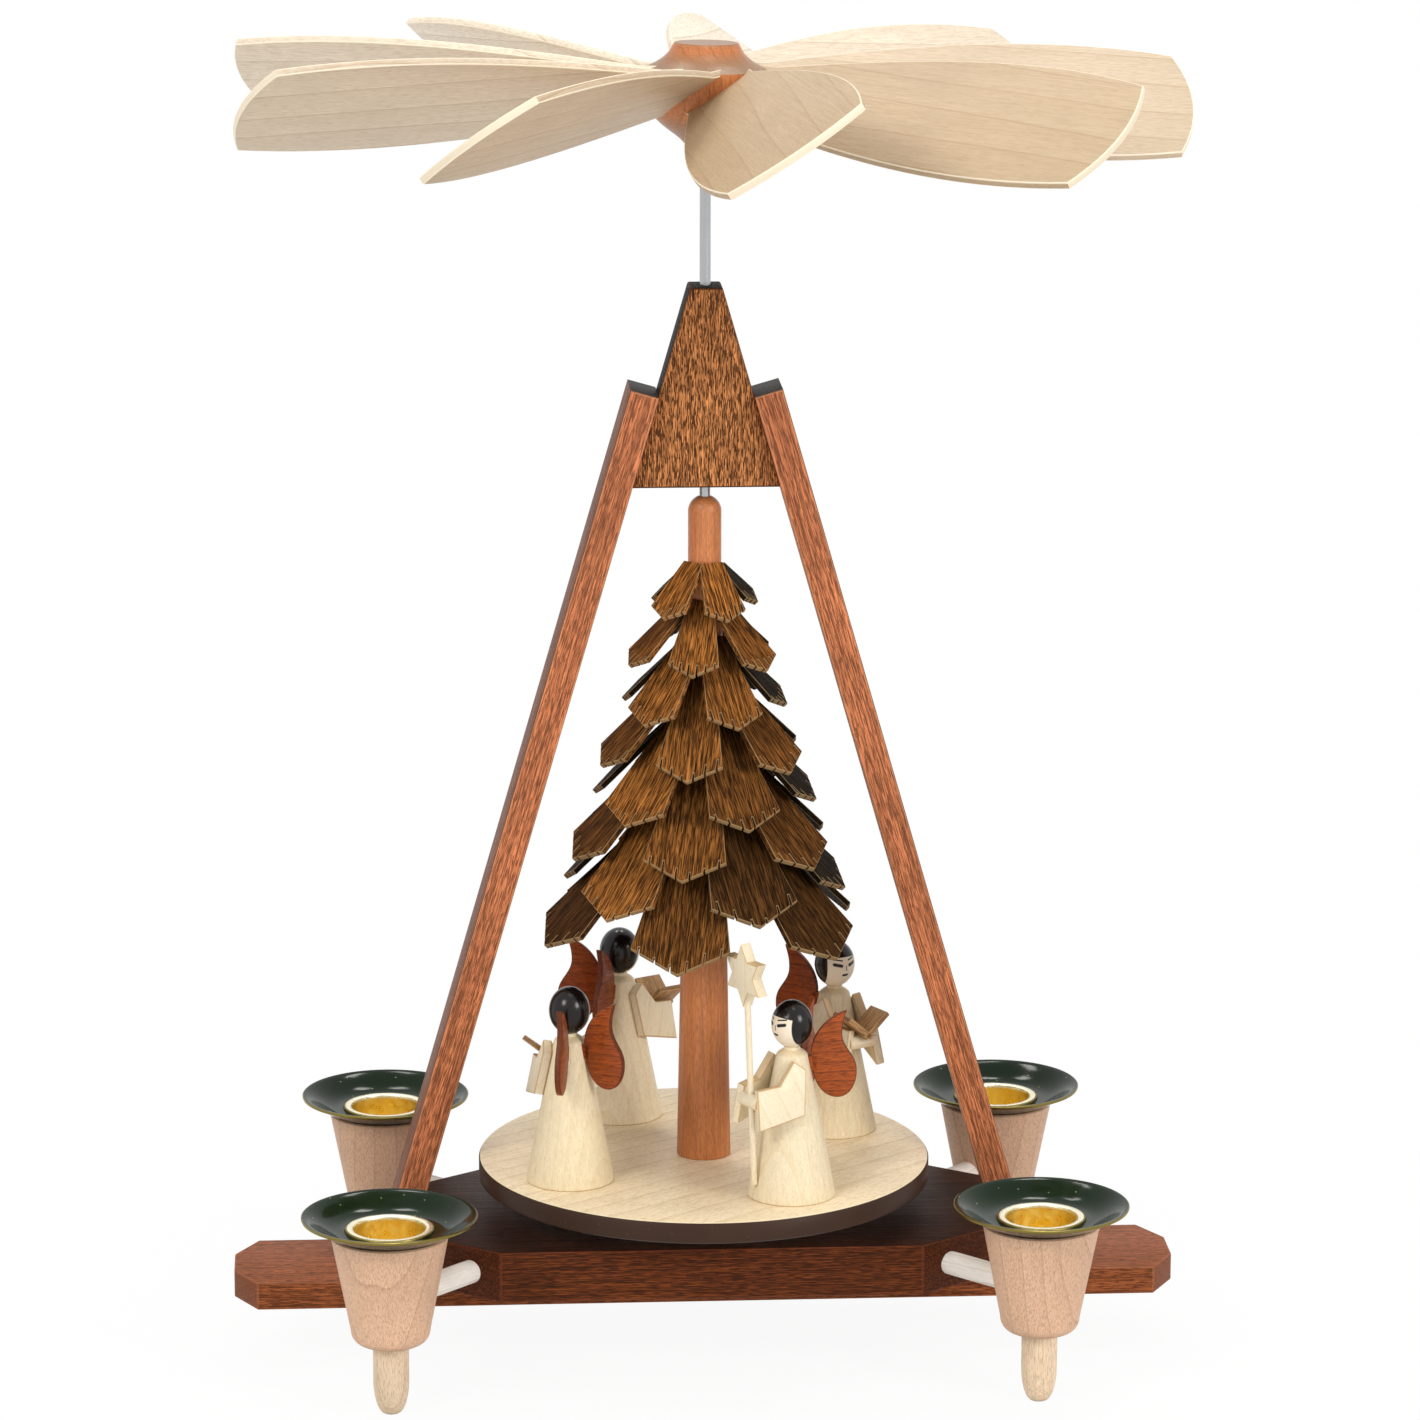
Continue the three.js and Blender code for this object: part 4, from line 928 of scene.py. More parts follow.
def leg_piece(node, side):
    """A leg: its foot is cut level on the block and its top square to its own length."""
    foot_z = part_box("base_block")[1].z / MM
    low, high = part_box(node)
    foot, top = frame_half_width(foot_z), frame_half_width(LEG_TOP_Z)
    outline = [
        (foot, foot_z), (foot + LEG_WIDTH / math.cos(LEG_TILT), foot_z),
        (top + LEG_WIDTH * math.cos(LEG_TILT), LEG_TOP_Z + LEG_WIDTH * math.sin(LEG_TILT)),
        (top, LEG_TOP_Z),
    ]
    leg = board([(side * x, z) for x, z in outline], (high.y - low.y) / MM, sizes().board_easing)
    placed(leg, upright(high.y / MM))
    bmesh.ops.recalc_face_normals(leg, faces=leg.faces)
    along = (-side * math.sin(LEG_TILT), 0, math.cos(LEG_TILT))
    grained(leg, along=along, seed=5 + side)
    # the outer side takes the darker copy of the leg's wood: painted shade
    for face in leg.faces:
        face.material_index = 1 if side * face.normal.x > 0.8 else 0
    finished(node, leg, STAND, "leg_wood", mahogany_leg(), leg_side_painted_shade())


def pivot_piece():
    """The lower bearing: a brass cup with a cone in its floor for the shaft's point."""
    low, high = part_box("pivot_cup")
    bottom, top = low.z / MM, high.z / MM
    outline = [
        (0, bottom), (PIVOT_R, bottom), (PIVOT_R, top), (PIVOT_WELL_R, top),
        (PIVOT_WELL_R, top - PIVOT_WELL_DEPTH / 2), (0, top - PIVOT_WELL_DEPTH),
    ]
    cup = turned(softened(outline, 0.25), SMALL)
    finished("pivot_cup", cup, STAND, "bearing_brass", socket_brass())


# Candle holders


def corner_frames():
    """For each corner, its name and the matrix of its holder, whose -X runs to the block."""
    turns = {
        "front_left": (-1, -1, math.pi + DOWEL_TURN), "front_right": (1, -1, -DOWEL_TURN),
        "back_right": (1, 1, DOWEL_TURN), "back_left": (-1, 1, math.pi - DOWEL_TURN),
    }
    for name, (x, y, turn) in turns.items():
        yield name, at(x * CUP_X, y * CUP_Y, 0) @ about("Z", turn)


def cup_piece(name, place, seed):
    """A turned cup, a cone on a rounded foot, bored for the candle's socket."""
    lip = CUP_BOTTOM_Z + CUP_HEIGHT
    bore = SOCKET_R + SOCKET_WALL + SOCKET_PLAY
    floor = lip + SOCKET_LIP_HEIGHT - SOCKET_DEPTH - SOCKET_FLOOR
    rounding = drawn(
        (CUP_FOOT_R, CUP_BOTTOM_Z),
        (
            (CUP_FOOT_R + 0.6 * (CUP_WAIST_R - CUP_FOOT_R), CUP_BOTTOM_Z),
            (CUP_WAIST_R, CUP_BOTTOM_Z + 0.45 * CUP_ROUNDING), (CUP_WAIST_R, CUP_BOTTOM_Z + CUP_ROUNDING),
        ),
    )
    top = [(CUP_TOP_R - 0.3, lip), (CUP_TOP_R - 1, lip), (bore, lip), (bore, floor), (0, floor)]
    outline = [(0, CUP_BOTTOM_Z), (CUP_FOOT_R - 1, CUP_BOTTOM_Z), *rounding, (CUP_TOP_R, lip - 0.3), *top]
    cup = turned(outline)
    grained(cup, along=(0, 0, 1), seed=seed)
    finished(f"candle_cup_{name}", placed(cup, place), STAND, "cup_wood", beech_cup())


def tray_piece(name, place):
    """An enamelled drip tray in one piece with the brass socket that stands in the cup."""
    lip = CUP_BOTTOM_Z + CUP_HEIGHT
    top = lip + SOCKET_LIP_HEIGHT
    floor = top - SOCKET_DEPTH
    seat = lip + TRAY_THICKNESS
    rim = lip + TRAY_RISE
    outer = SOCKET_R + SOCKET_WALL
    bowl = drawn(
        (TRAY_SEAT_R, seat),
        ((TRAY_SEAT_R + 3, seat + 0.2), (TRAY_R - 3.5, rim - 1.2), (TRAY_R - 0.6, rim)),
    )
    under = drawn(
        (TRAY_R - 0.1, rim - TRAY_THICKNESS),
        ((TRAY_R - 3.2, rim - 1.7), (TRAY_SEAT_R + 3, lip + 0.15), (TRAY_SEAT_R, lip)),
    )
    edge = [(TRAY_R - 0.2, rim + 0.02), (TRAY_R, rim - 0.15), (TRAY_R, rim - 0.35)]
    outline = [
        (0, floor), (SOCKET_R - 1.2, floor), (SOCKET_R - 0.3, floor + 0.35), (SOCKET_R, floor + 1.2),
        (SOCKET_R, top - REFLECTION_BAND_HEIGHT), (SOCKET_R, top - 0.5), (SOCKET_R + 0.12, top - 0.15),
        (SOCKET_R + 0.45, top), (SOCKET_LIP_R - 0.5, top), (SOCKET_LIP_R - 0.15, top - 0.12),
        (SOCKET_LIP_R, top - 0.45), (SOCKET_LIP_R, seat + 0.05), *bowl, *edge, *under, (outer, lip),
        (outer, floor - SOCKET_FLOOR), (0, floor - SOCKET_FLOOR),
    ]
    tray = turned(outline)
    # the socket is brass with a painted reflection in near white at its mouth, and the enamel is worn off
    # along the two rims
    for face in tray.faces:
        spot = face.calc_center_median()
        radius, height = math.hypot(spot.x, spot.y) / MM, spot.z / MM
        if radius < SOCKET_R + 0.02 and height > floor - 0.1:
            face.material_index = 2 if height > top - REFLECTION_BAND_HEIGHT else 3
        elif radius < outer + 0.1 and height < lip - 0.1:
            face.material_index = 3
        elif radius < SOCKET_LIP_R - 0.4 and height > top - 0.6:
            face.material_index = 2
        elif radius > TRAY_R - 0.12 or radius < SOCKET_LIP_R + 0.02 and height > seat:
            face.material_index = 1
    finished(
        f"candle_tray_{name}", placed(tray, place), STAND, "tray_enamel", tray_enamel(), gilt_edge(),
        socket_painted_reflection(), socket_brass(),
    )


def peg_piece(name, place, seed):
    """A foot peg, bullet shaped where it touches the table."""
    tip = drawn(
        (PEG_TIP_R, 0),
        ((PEG_R * 0.75, 0), (PEG_R * 0.98, PEG_TAPER_HEIGHT * 0.5), (PEG_R, PEG_TAPER_HEIGHT)),
    )
    head = CUP_BOTTOM_Z + PEG_SINK
    peg = turned([(0, 0), *tip, (PEG_R, head), (0, head)], SMALL)
    grained(peg, along=(0, 0, 1), seed=seed)
    finished(f"foot_peg_{name}", placed(peg, place), STAND, "peg_wood", beech_peg())


def dowel_reach():
    """How far a dowel's inner end lies from its cup's axis."""
    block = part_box("base_block")[1] / MM
    bar_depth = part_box("base_bar")[1].y / MM
    run = Vector((math.cos(DOWEL_TURN), math.sin(DOWEL_TURN)))
    face = Vector((block.x - BLOCK_FRONT_WIDTH / 2, block.y - bar_depth))
    to_cup = Vector((CUP_X - BLOCK_FRONT_WIDTH / 2, CUP_Y - block.y))
    across = to_cup.x * face.y + to_cup.y * face.x
    return across / (run.x * face.y + run.y * face.x) + DOWEL_IN_BLOCK


def dowel_piece(name, place, seed):
    """A level dowel, glued into the cup at one end and into the block at the other."""
    bottom = CUP_BOTTOM_Z + CUP_ROUNDING
    share = (DOWEL_Z - bottom) / (CUP_HEIGHT - CUP_ROUNDING)
    start = CUP_WAIST_R + share * (CUP_TOP_R - CUP_WAIST_R) - DOWEL_IN_CUP
    end = dowel_reach()
    outline = softened([(0, start), (DOWEL_R, start), (DOWEL_R, end), (0, end)], 0.6)
    dowel = turned(outline, SMALL)
    grained(dowel, along=(0, 0, 1), seed=seed)
    placed(dowel, place @ at(0, 0, DOWEL_Z) @ about("Y", -math.pi / 2))
    finished(f"cup_dowel_{name}", dowel, STAND, "dowel_wood", birch_dowel())


# Rotor


def shaft_piece():
    """A steel rod, ground to a point where it stands in the bearing."""
    low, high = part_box("shaft")
    bottom, top = low.z / MM, high.z / MM
    outline = [(0, bottom), (SHAFT_R, bottom + SHAFT_POINT), (SHAFT_R, top), (0, top)]
    finished("shaft", turned(softened(outline, 0.2), SMALL), ROTOR, "shaft_steel", shaft_steel())


def platform_piece():
    """A round board with an eased upper edge and a stained rim, bored for the shaft."""
    low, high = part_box("turning_platform")
    radius, bottom, top = high.x / MM, low.z / MM, high.z / MM
    bore = SHAFT_R + SHAFT_PLAY
    outline = [
        (bore, bottom), (radius - 0.3, bottom), (radius, bottom + 0.3), (radius, top - PLATFORM_EDGE),
        (radius - PLATFORM_EDGE / 2, top - PLATFORM_EDGE / 3), (radius - PLATFORM_EDGE, top),
        (radius - 10, top), (bore, top), (bore, bottom),
    ]
    disc = turned(outline, 2 * FINE)
    wear_and_edge_highlight = disc.faces.layers.float["wear_and_edge_highlight"]
    for face in disc.faces:
        spot = face.calc_center_median()
        if math.hypot(spot.x, spot.y) > (radius - PLATFORM_EDGE / 2) * MM and spot.z < (top - 0.1) * MM:
            face.material_index = 1
        elif spot.z > (top - PLATFORM_EDGE) * MM and abs(face.normal.z) < 0.98:
            face[wear_and_edge_highlight] = 1
    grained(disc, along=(1, 0.75, 0), seed=2)
    finished("turning_platform", disc, ROTOR, "platform_wood", maple_platform(), rim_paint())


def trunk_radius(height):
    """The trunk's radius at a height over the platform."""
    share = min(height / TRUNK_CONE_HEIGHT, 1)
    return TRUNK_BASE_R + share * (TRUNK_TOP_R - TRUNK_BASE_R)


def trunk_piece():
    """A turned sleeve on the shaft, slightly conical, with a domed top."""
    bore = SHAFT_R + SHAFT_PLAY
    dome = TRUNK_HEIGHT - TRUNK_TOP_R
    outline = [(bore, 0), (TRUNK_BASE_R - 0.2, 0), (TRUNK_BASE_R, 0.2), (TRUNK_TOP_R, TRUNK_CONE_HEIGHT)]
    rows = 14
    for row in range(rows):
        angle = row * math.acos(bore / TRUNK_TOP_R) / (rows - 1)
        outline.append((TRUNK_TOP_R * math.cos(angle), dome + TRUNK_TOP_R * math.sin(angle)))
    trunk = turned([*outline, (bore, 0)])
    grained(trunk, along=(0, 0, 1), seed=4)
    finished("trunk", placed(trunk, at(0, 0, PLATFORM_TOP_Z)), ROTOR, "trunk_wood", alder_trunk())


def shingle_outline(root_s, root_half, tip_s, width):
    """One shingle: narrow at the trunk, widest at its shoulders, blunt and slit at its tip. Its s runs
    down the slope from the shaft's axis."""
    half = width / 2
    slope = 2 * SHINGLE_POINT
    depth, gap, slits = sizes().slit_depth / MM, sizes().slit_width / MM, sizes().slits
    corners = [(root_s, -root_half), (tip_s - half * slope, -half)]
    for slit in range(slits):
        y = -half + width * (slit + 0.5) / slits
        x = tip_s - abs(y) * slope
        reach = depth * (0.75 + 0.35 * math.sin(5.1 * slit + tip_s))
        lift = math.copysign(slope * gap / 2, y)
        corners.append((x + lift, y - gap / 2))
        corners.append((x - reach, y - gap / 3))
        corners.append((x - reach, y + gap / 3))
        corners.append((x - lift, y + gap / 2))
        if slit == slits // 2 - 1:
            corners.append((tip_s, 0))
    return [*corners, (tip_s - half * slope, half), (root_s, root_half)]


def shingle_tone_and_shade(index, turn):
    """How dark a shingle is: partly its stain's own tone, partly painted shade, which makes it darker low
    down, on the right and where it faces aside.
    """
    aside = math.cos(turn)
    if abs(aside) > 0.7:
        return 0.43 + 0.06 * index
    return min(0.22 + (0.08 + 0.09 * aside) * index, 0.85)


def layer_piece(index):
    """A ring of six shingles on the trunk."""
    tip_r = FIRST_TIP_R + index * TIP_R_STEP
    tip_z = FIRST_TIP_Z - index * TIP_Z_STEP + index * index * TIP_Z_EASING
    width = FIRST_SHINGLE_WIDTH + index * SHINGLE_WIDTH_STEP
    apex_z = tip_z + tip_r * math.tan(SHINGLE_LEAN)
    first = trunk_radius(apex_z - PLATFORM_TOP_Z)
    trunk_r = trunk_radius(apex_z - first * math.tan(SHINGLE_LEAN) - PLATFORM_TOP_Z)
    root_s = (trunk_r - SHINGLE_IN_TRUNK) / math.cos(SHINGLE_LEAN)
    staggered = index % 2 == 0
    start = SHINGLE_TURN + (math.pi / SHINGLES if staggered else 0)
    slips = []
    for k in range(SHINGLES):
        at_front = k <= (0 if staggered else 1) or k == SHINGLES - 1
        reach = tip_r if at_front else tip_r - BACK_TIP_CUT
        outline = shingle_outline(root_s, trunk_r * SHINGLE_ROOT, reach / math.cos(SHINGLE_LEAN), width)
        slip = board(outline, SHINGLE_THICKNESS, SHINGLE_EASING * MM)
        number = SHINGLES * index + k
        turn = start + k * 2 * math.pi / SHINGLES
        # the back slips that face aside get the darkest tone: painted shade
        at_side = not at_front and abs(math.cos(turn)) > 0.9
        grained(slip, seed=7 + number, tone_and_painted_light=1 if at_side else shingle_tone_and_shade(index, turn))
        tone_and_painted_light = slip.faces.layers.float["tone_and_painted_light"]
        for face in slip.faces:
            if face.normal.z < -0.9:
                face[tone_and_painted_light] = 1  # the undersides are painted nearly black as shade
        drop = 0 if at_front else BACK_DROP
        place = at(0, 0, apex_z) @ about("Z", turn) @ at(0, 0, -drop)
        slips.append(placed(slip, place @ about("Y", SHINGLE_LEAN)))
    finished(f"tree_layer_{index + 1}", joined(*slips), ROTOR, "shingle_wood", shingle_bark())


def fan_frame():
    """The fan's own frame, which leans a little on the shaft, with its origin at the blades' roots."""
    axis = Vector((-math.sin(FAN_LEAN_TURN), math.cos(FAN_LEAN_TURN), 0))
    return at(0, 0, BLADE_Z) @ about(axis, FAN_LEAN)


def hub_piece():
    """The fan's turned hub, which widens from a narrow foot to its rim and draws in again above."""
    flare = HUB_RIM_R - HUB_TOP_R
    foot = HUB_RIM_R - HUB_FOOT_R
    upper = HUB_HEIGHT - HUB_RIM_HEIGHT
    belly = drawn(
        (HUB_FOOT_R, 0),
        (
            (HUB_FOOT_R + 0.1 * foot, 0.26 * HUB_RIM_HEIGHT),
            (HUB_FOOT_R + 0.72 * foot, 0.26 * HUB_RIM_HEIGHT),
            (HUB_FOOT_R + 0.93 * foot, 0.6 * HUB_RIM_HEIGHT),
        ),
        (
            (HUB_RIM_R - 0.2, 0.78 * HUB_RIM_HEIGHT), (HUB_RIM_R, HUB_RIM_HEIGHT - 1.6),
            (HUB_RIM_R, HUB_RIM_HEIGHT - 0.8),
        ),
        ((HUB_RIM_R, HUB_RIM_HEIGHT - 0.2),),
        (
            (HUB_RIM_R - 0.25 * flare, HUB_RIM_HEIGHT + 0.1 * upper),
            (HUB_TOP_R + 0.2 * flare, HUB_RIM_HEIGHT + 0.35 * upper),
            (HUB_TOP_R + 0.05 * flare, HUB_HEIGHT - 0.8),
        ),
    )
    crown = [(HUB_TOP_R, HUB_HEIGHT - 0.3), (HUB_TOP_R - 0.3, HUB_HEIGHT), (HUB_TOP_R - 1, HUB_HEIGHT)]
    hub = turned([(0, 0), *belly, *crown, (0, HUB_HEIGHT)])
    grained(hub, along=(0, 0, 1), seed=6)
    placed(hub, fan_frame() @ at(0, 0, HUB_BOTTOM_Z - BLADE_Z))
    finished("fan_hub", hub, ROTOR, "hub_wood", alder_hub())


def blade_outline():
    """A blade from its root in the hub to its bulged tip, widest beyond the middle."""
    belly = (BLADE_CORNER_S - BLADE_NECK_S) / 3
    root, tip = BLADE_ROOT_CHORD / 2, BLADE_TIP_CHORD / 2
    inner, outer = BLADE_INNER_BELLY / 2, BLADE_OUTER_BELLY / 2
    bulge = BLADE_CORNER_S + BLADE_BULGE * 4 / 3
    return drawn(
        (BLADE_ROOT_S, -root), ((BLADE_NECK_S, -root),),
        ((BLADE_NECK_S + belly, -inner), (BLADE_CORNER_S - belly, -outer), (BLADE_CORNER_S, -tip)),
        ((bulge, -tip / 3), (bulge, tip / 3), (BLADE_CORNER_S, tip)),
        ((BLADE_CORNER_S - belly, outer), (BLADE_NECK_S + belly, inner), (BLADE_NECK_S, root)),
        ((BLADE_ROOT_S, root),), rows=20,
    )


def blade_piece(index):
    """One blade, in its slot of the hub, whose tone by its place in the fan is painted light: darker at the
    front, paler towards the back, where light falls on the blades from above.
    """
    blade = board(blade_outline(), BLADE_THICKNESS, sizes().thin_easing)
    # the blades at the back of the fan are paler: painted light
    paleness_as_painted_light = 0.5 - 0.5 * math.cos(2 * math.pi * (index - 0.3) / BLADES)
    grained(blade, seed=20 + index, tone_and_painted_light=paleness_as_painted_light)
    pitch = about("Y", BLADE_DROOP) @ about("X", BLADE_PITCH)
    aside = FRONT_BLADE_TURN if index == 0 else 0
    turn = about("Z", FIRST_BLADE_TURN + aside + index * 2 * math.pi / BLADES)
    placed(blade, fan_frame() @ turn @ pitch @ at(0, BLADE_OFFSET, -BLADE_THICKNESS / 2))
    finished(f"fan_blade_{index + 1}", blade, ROTOR, "blade_wood", maple_blade())


# Angels


def angel_frame(index):
    """An angel's own frame on the platform, +X the way it faces, clockwise round the platform."""
    turn = FIRST_ANGEL_TURN + index * 2 * math.pi / ANGELS
    x, y = ANGEL_RING_R * math.cos(turn), ANGEL_RING_R * math.sin(turn)
    return at(x, y, PLATFORM_TOP_Z) @ about("Z", turn - math.pi / 2 + ANGEL_TURNS[index])


def skirt_piece(name, place, seed):
    """An angel's body, turned in one: a tall cone, rounded shoulders and a neck."""
    outline = [
        (0, 0), (SKIRT_R - 0.25, 0), (SKIRT_R, 0.25), (SHOULDER_R + 0.1, SHOULDER_Z - 0.3),
        (SHOULDER_R - 0.4, SHOULDER_Z + 0.2), (NECK_R + 0.5, SHOULDER_Z + 0.6),
        (NECK_R, SHOULDER_Z + 0.9), (NECK_R, NECK_TOP_Z), (0, NECK_TOP_Z),
    ]
    skirt = turned(softened(outline, 0.3, rows=3), SMALL)
    grained(skirt, along=(0, 0, 1), seed=seed, tone_and_painted_light=0.3 + 0.2 * math.sin(seed))
    finished(f"{name}_body", placed(skirt, place), ROTOR, "skirt_wood", lime_skirt())


def stroke(tree, point, start, end, width):
    """A brush stroke: 1 within its width of the line from start to end and soft at its edge, else 0."""
    run = Vector(end) - Vector(start)
    way = (*run.normalized(), 0)
    away = add(tree, "VectorMath", {0: point, 1: (*start, 0)}, operation="SUBTRACT")[0]
    along = add(tree, "VectorMath", {0: away, 1: way}, operation="DOT_PRODUCT")["Value"]
    kept = add(tree, "Clamp", {"Value": along, "Max": run.length})[0]
    foot = add(tree, "VectorMath", {0: way, "Scale": kept}, operation="SCALE")[0]
    distance = add(tree, "VectorMath", {0: away, 1: foot}, operation="DISTANCE")["Value"]
    edge = {"Value": distance, "From Min": 1.25 * width, "From Max": 0.75 * width}
    return add(tree, "MapRange", edge)[0]


@made_once
def painted_face(tree):
    """Lime wood under thin ivory paint, with a glossy black cap of hair and fine brush strokes for
    the eyes, nose and mouth."""
    place = add(tree, "Attribute", attribute_name="face")["Vector"]
    forward, side, up = add(tree, "SeparateXYZ", {0: place})
    mirrored = add(tree, "Math", {0: side}, operation="ABSOLUTE")[0]
    pair = add(tree, "CombineXYZ", {0: mirrored, 1: up})[0]
    single = add(tree, "CombineXYZ", {0: side, 1: up})[0]
    marks = stroke(tree, pair, (0.22, 0.08), (0.56, 0.15), 0.07)  # the eyes
    others = (
        stroke(tree, pair, (0.18, 0.30), (0.58, 0.36), 0.03),  # the brows
        stroke(tree, single, (0.04, 0.05), (0.06, -0.14), 0.025),  # the nose
        stroke(tree, single, (-0.12, -0.34), (0.12, -0.34), 0.05),  # the mouth
    )
    for other in others:
        marks = add(tree, "Math", {0: marks, 1: other}, operation="MAXIMUM")[0]
    facing = add(tree, "MapRange", {"Value": forward, "From Min": 0.05, "From Max": 0.15})[0]
    marks = add(tree, "Math", {0: marks, 1: facing}, operation="MULTIPLY")[0]

    # The hair lies behind a line that runs over the brow and down the temples
    fringe = add(tree, "Math", {0: up, 1: 5.0, 2: -1.25}, operation="MULTIPLY_ADD")[0]
    temple = add(tree, "Math", {0: mirrored, 1: 3.0, 2: -1.85}, operation="MULTIPLY_ADD")[0]
    cap = add(tree, "Math", {0: fringe, 1: temple}, operation="MAXIMUM")[0]
    crown = add(tree, "Math", {0: cap, 1: 0.0}, operation="MAXIMUM")[0]
    behind = add(tree, "Math", {0: crown, 1: forward}, operation="SUBTRACT")[0]
    hair = add(tree, "MapRange", {"Value": behind, "From Min": -0.02, "From Max": 0.02})[0]

    cover = add(tree, "Math", {0: hair, 1: marks}, operation="MAXIMUM")[0]
    # blotches of a third of the head's radius
    blotches = add(tree, "TexNoise", {"Vector": place, "Scale": 3.0, "Detail": 3.0})[0]
    ivory = {0: blotches, 6: linear("f7eddb"), 7: linear("e9d5b8")}
    skin = add(tree, "Mix", ivory, data_type="RGBA")[2]
    shade = add(tree, "Mix", {0: cover, 6: skin, 7: linear("120c0a")}, data_type="RGBA")[2]
    gloss = add(tree, "MapRange", {"Value": hair, "To Min": 0.45, "To Max": 0.22})[0]
    surface(tree, hair, 0.5, 0.1, {"Base Color": shade, "Roughness": gloss, "Specular IOR Level": 0.35})


def head_ball(name, place):
    """An egg-shaped head whose points know their place on the face."""
    drop = HEAD_HALF_HEIGHT * math.sqrt(1 - (NECK_R / HEAD_R) ** 2)
    first = -math.asin(drop / HEAD_HALF_HEIGHT)
    rows = 30
    outline = [(0, -drop)]
    for row in range(rows + 1):
        angle = first + (math.pi / 2 - first) * row / rows
        outline.append((HEAD_R * math.cos(angle), HEAD_HALF_HEIGHT * math.sin(angle)))
    head = turned(outline, HEAD_FACETS)
    face = head.verts.layers.float_vector.new("face")
    for vert in head.verts:
        x, y, z = vert.co / MM
        vert[face] = Vector((x / HEAD_R, y / HEAD_R, z / HEAD_HALF_HEIGHT))
    placed(head, place @ at(0, 0, NECK_TOP_Z + drop))
    finished(f"{name}_head", head, ROTOR, "face_wood", painted_face("painted_lime_face"))


def wing_outline():
    """A wing, round at the bottom and drawn up to a tip, with a notch under it at the outer edge."""
    w, h = WING_WIDTH, WING_HEIGHT
    return drawn(
        (w * 0.78, h), ((w * 0.3, h * 0.93), (-w * 0.1, h * 0.66), (w * 0.02, h * 0.4)),
        ((w * 0.06, h * 0.12), (w * 0.32, 0), (w * 0.58, 0)),
        ((w * 0.9, 0), (w * 1.03, h * 0.2), (w, h * 0.34)),
        ((w * 0.97, h * 0.5), (w * 0.7, h * 0.56), (w * 0.68, h * 0.72)),
        ((w * 0.67, h * 0.84), (w * 0.73, h * 0.92), (w * 0.78, h)),
    )[:-1]


def wings_piece(name, place, seed):
    """Two wings and the tongues that hold them in the back of the skirt."""
    parts = []
    tongue_high = WING_TONGUE_Z + WING_TONGUE_HEIGHT
    outer = WING_ROOT_R + 1.2
    tongue = [(-0.6, WING_TONGUE_Z), (outer, WING_TONGUE_Z), (outer, tongue_high), (-0.6, tongue_high)]
    for side in (-1, 1):
        turn = about("Z", math.pi + side * WING_SPREAD)
        wing = board(wing_outline(), WING_THICKNESS, sizes().thin_easing)
        grained(wing, along=(1, 0.12, 0), seed=seed + side)
        placed(wing, place @ turn @ at(WING_ROOT_R, WING_THICKNESS / 2, WING_BOTTOM_Z) @ upright())
        peg = board(tongue, WING_THICKNESS, 0)
        grained(peg, seed=seed + side)
        placed(peg, place @ turn @ upright(WING_THICKNESS / 2))
        parts += [wing, peg]
    finished(f"{name}_wings", joined(*parts), ROTOR, "wing_wood", veneer_wing())


def sleeve(side, seed):
    """A flat sleeve along the side of the skirt, bent at the elbow and cut off at the cuff."""
    outline = [
        (1.4, SLEEVE_TOP_Z), (UPPER_ARM_WIDTH - 0.4, ELBOW_Z + 0.6), (SLEEVE_REACH, ELBOW_Z),
        (SLEEVE_REACH, CUFF_BOTTOM_Z), (-0.4, CUFF_BOTTOM_Z + 2.6),
        (1.4 - UPPER_ARM_WIDTH / 2, SLEEVE_TOP_Z - 2),
    ]
    slope = math.atan((SKIRT_R - SHOULDER_R) / SHOULDER_Z)
    arm = board(outline, SLEEVE_THICKNESS, sizes().thin_easing)
    grained(arm, along=(0.35, 1, 0), seed=seed)
    lean = about("Z", -SLEEVE_TOE_IN) @ at(0, SKIRT_R + SLEEVE_GAP, 0) @ about("X", slope)
    return placed(arm, mirrored(side) @ lean @ upright(SLEEVE_THICKNESS))


def book_cover(side, seed):
    """One half of the open book, sloping up from its spine over the hands."""
    half = BOOK_LENGTH / 2
    outline = [(-half, -0.5), (half, -0.5), (half, BOOK_COVER), (-half, BOOK_COVER)]
    cover = board(outline, BOOK_THICKNESS, BOOK_EASING * MM)
    grained(cover, along=(0, 1, 0), seed=seed)
    for face in cover.faces:
        face.material_index = 1
    opened = mirrored(side) @ about("X", BOOK_OPENING)
    return placed(cover, at(HAND_X, 0, HAND_Z + HAND_R - 0.2) @ opened)


def cuff_half_gap():
    """Half the distance between the two cuffs at the hands."""
    skirt = SKIRT_R + HAND_Z / SHOULDER_Z * (SHOULDER_R - SKIRT_R)
    across = skirt + SLEEVE_GAP - HAND_X * math.sin(SLEEVE_TOE_IN)
    return across / math.cos(SLEEVE_TOE_IN)


def arms_piece(name, place, seed, holds_book):
    """Two sleeves, the round bar of the hands between them and, for three angels, a book."""
    reach = cuff_half_gap() + SLEEVE_THICKNESS / 2
    bar = softened([(0, -reach), (HAND_R, -reach), (HAND_R, reach), (0, reach)], 0.5)
    hands = grained(turned(bar, SMALL), along=(0, 0, 1), seed=seed)
    placed(hands, at(HAND_X, 0, HAND_Z) @ about("X", math.pi / 2))
    parts = [sleeve(1, seed), sleeve(-1, seed + 1), hands]
    if holds_book:
        parts += [book_cover(1, seed + 2), book_cover(-1, seed + 3)]
    arms = placed(joined(*parts), place)
    node = f"{name}_arms_and_book" if holds_book else f"{name}_arms"
    finished(node, arms, ROTOR, "pale_wood", lime_board(), book_board())


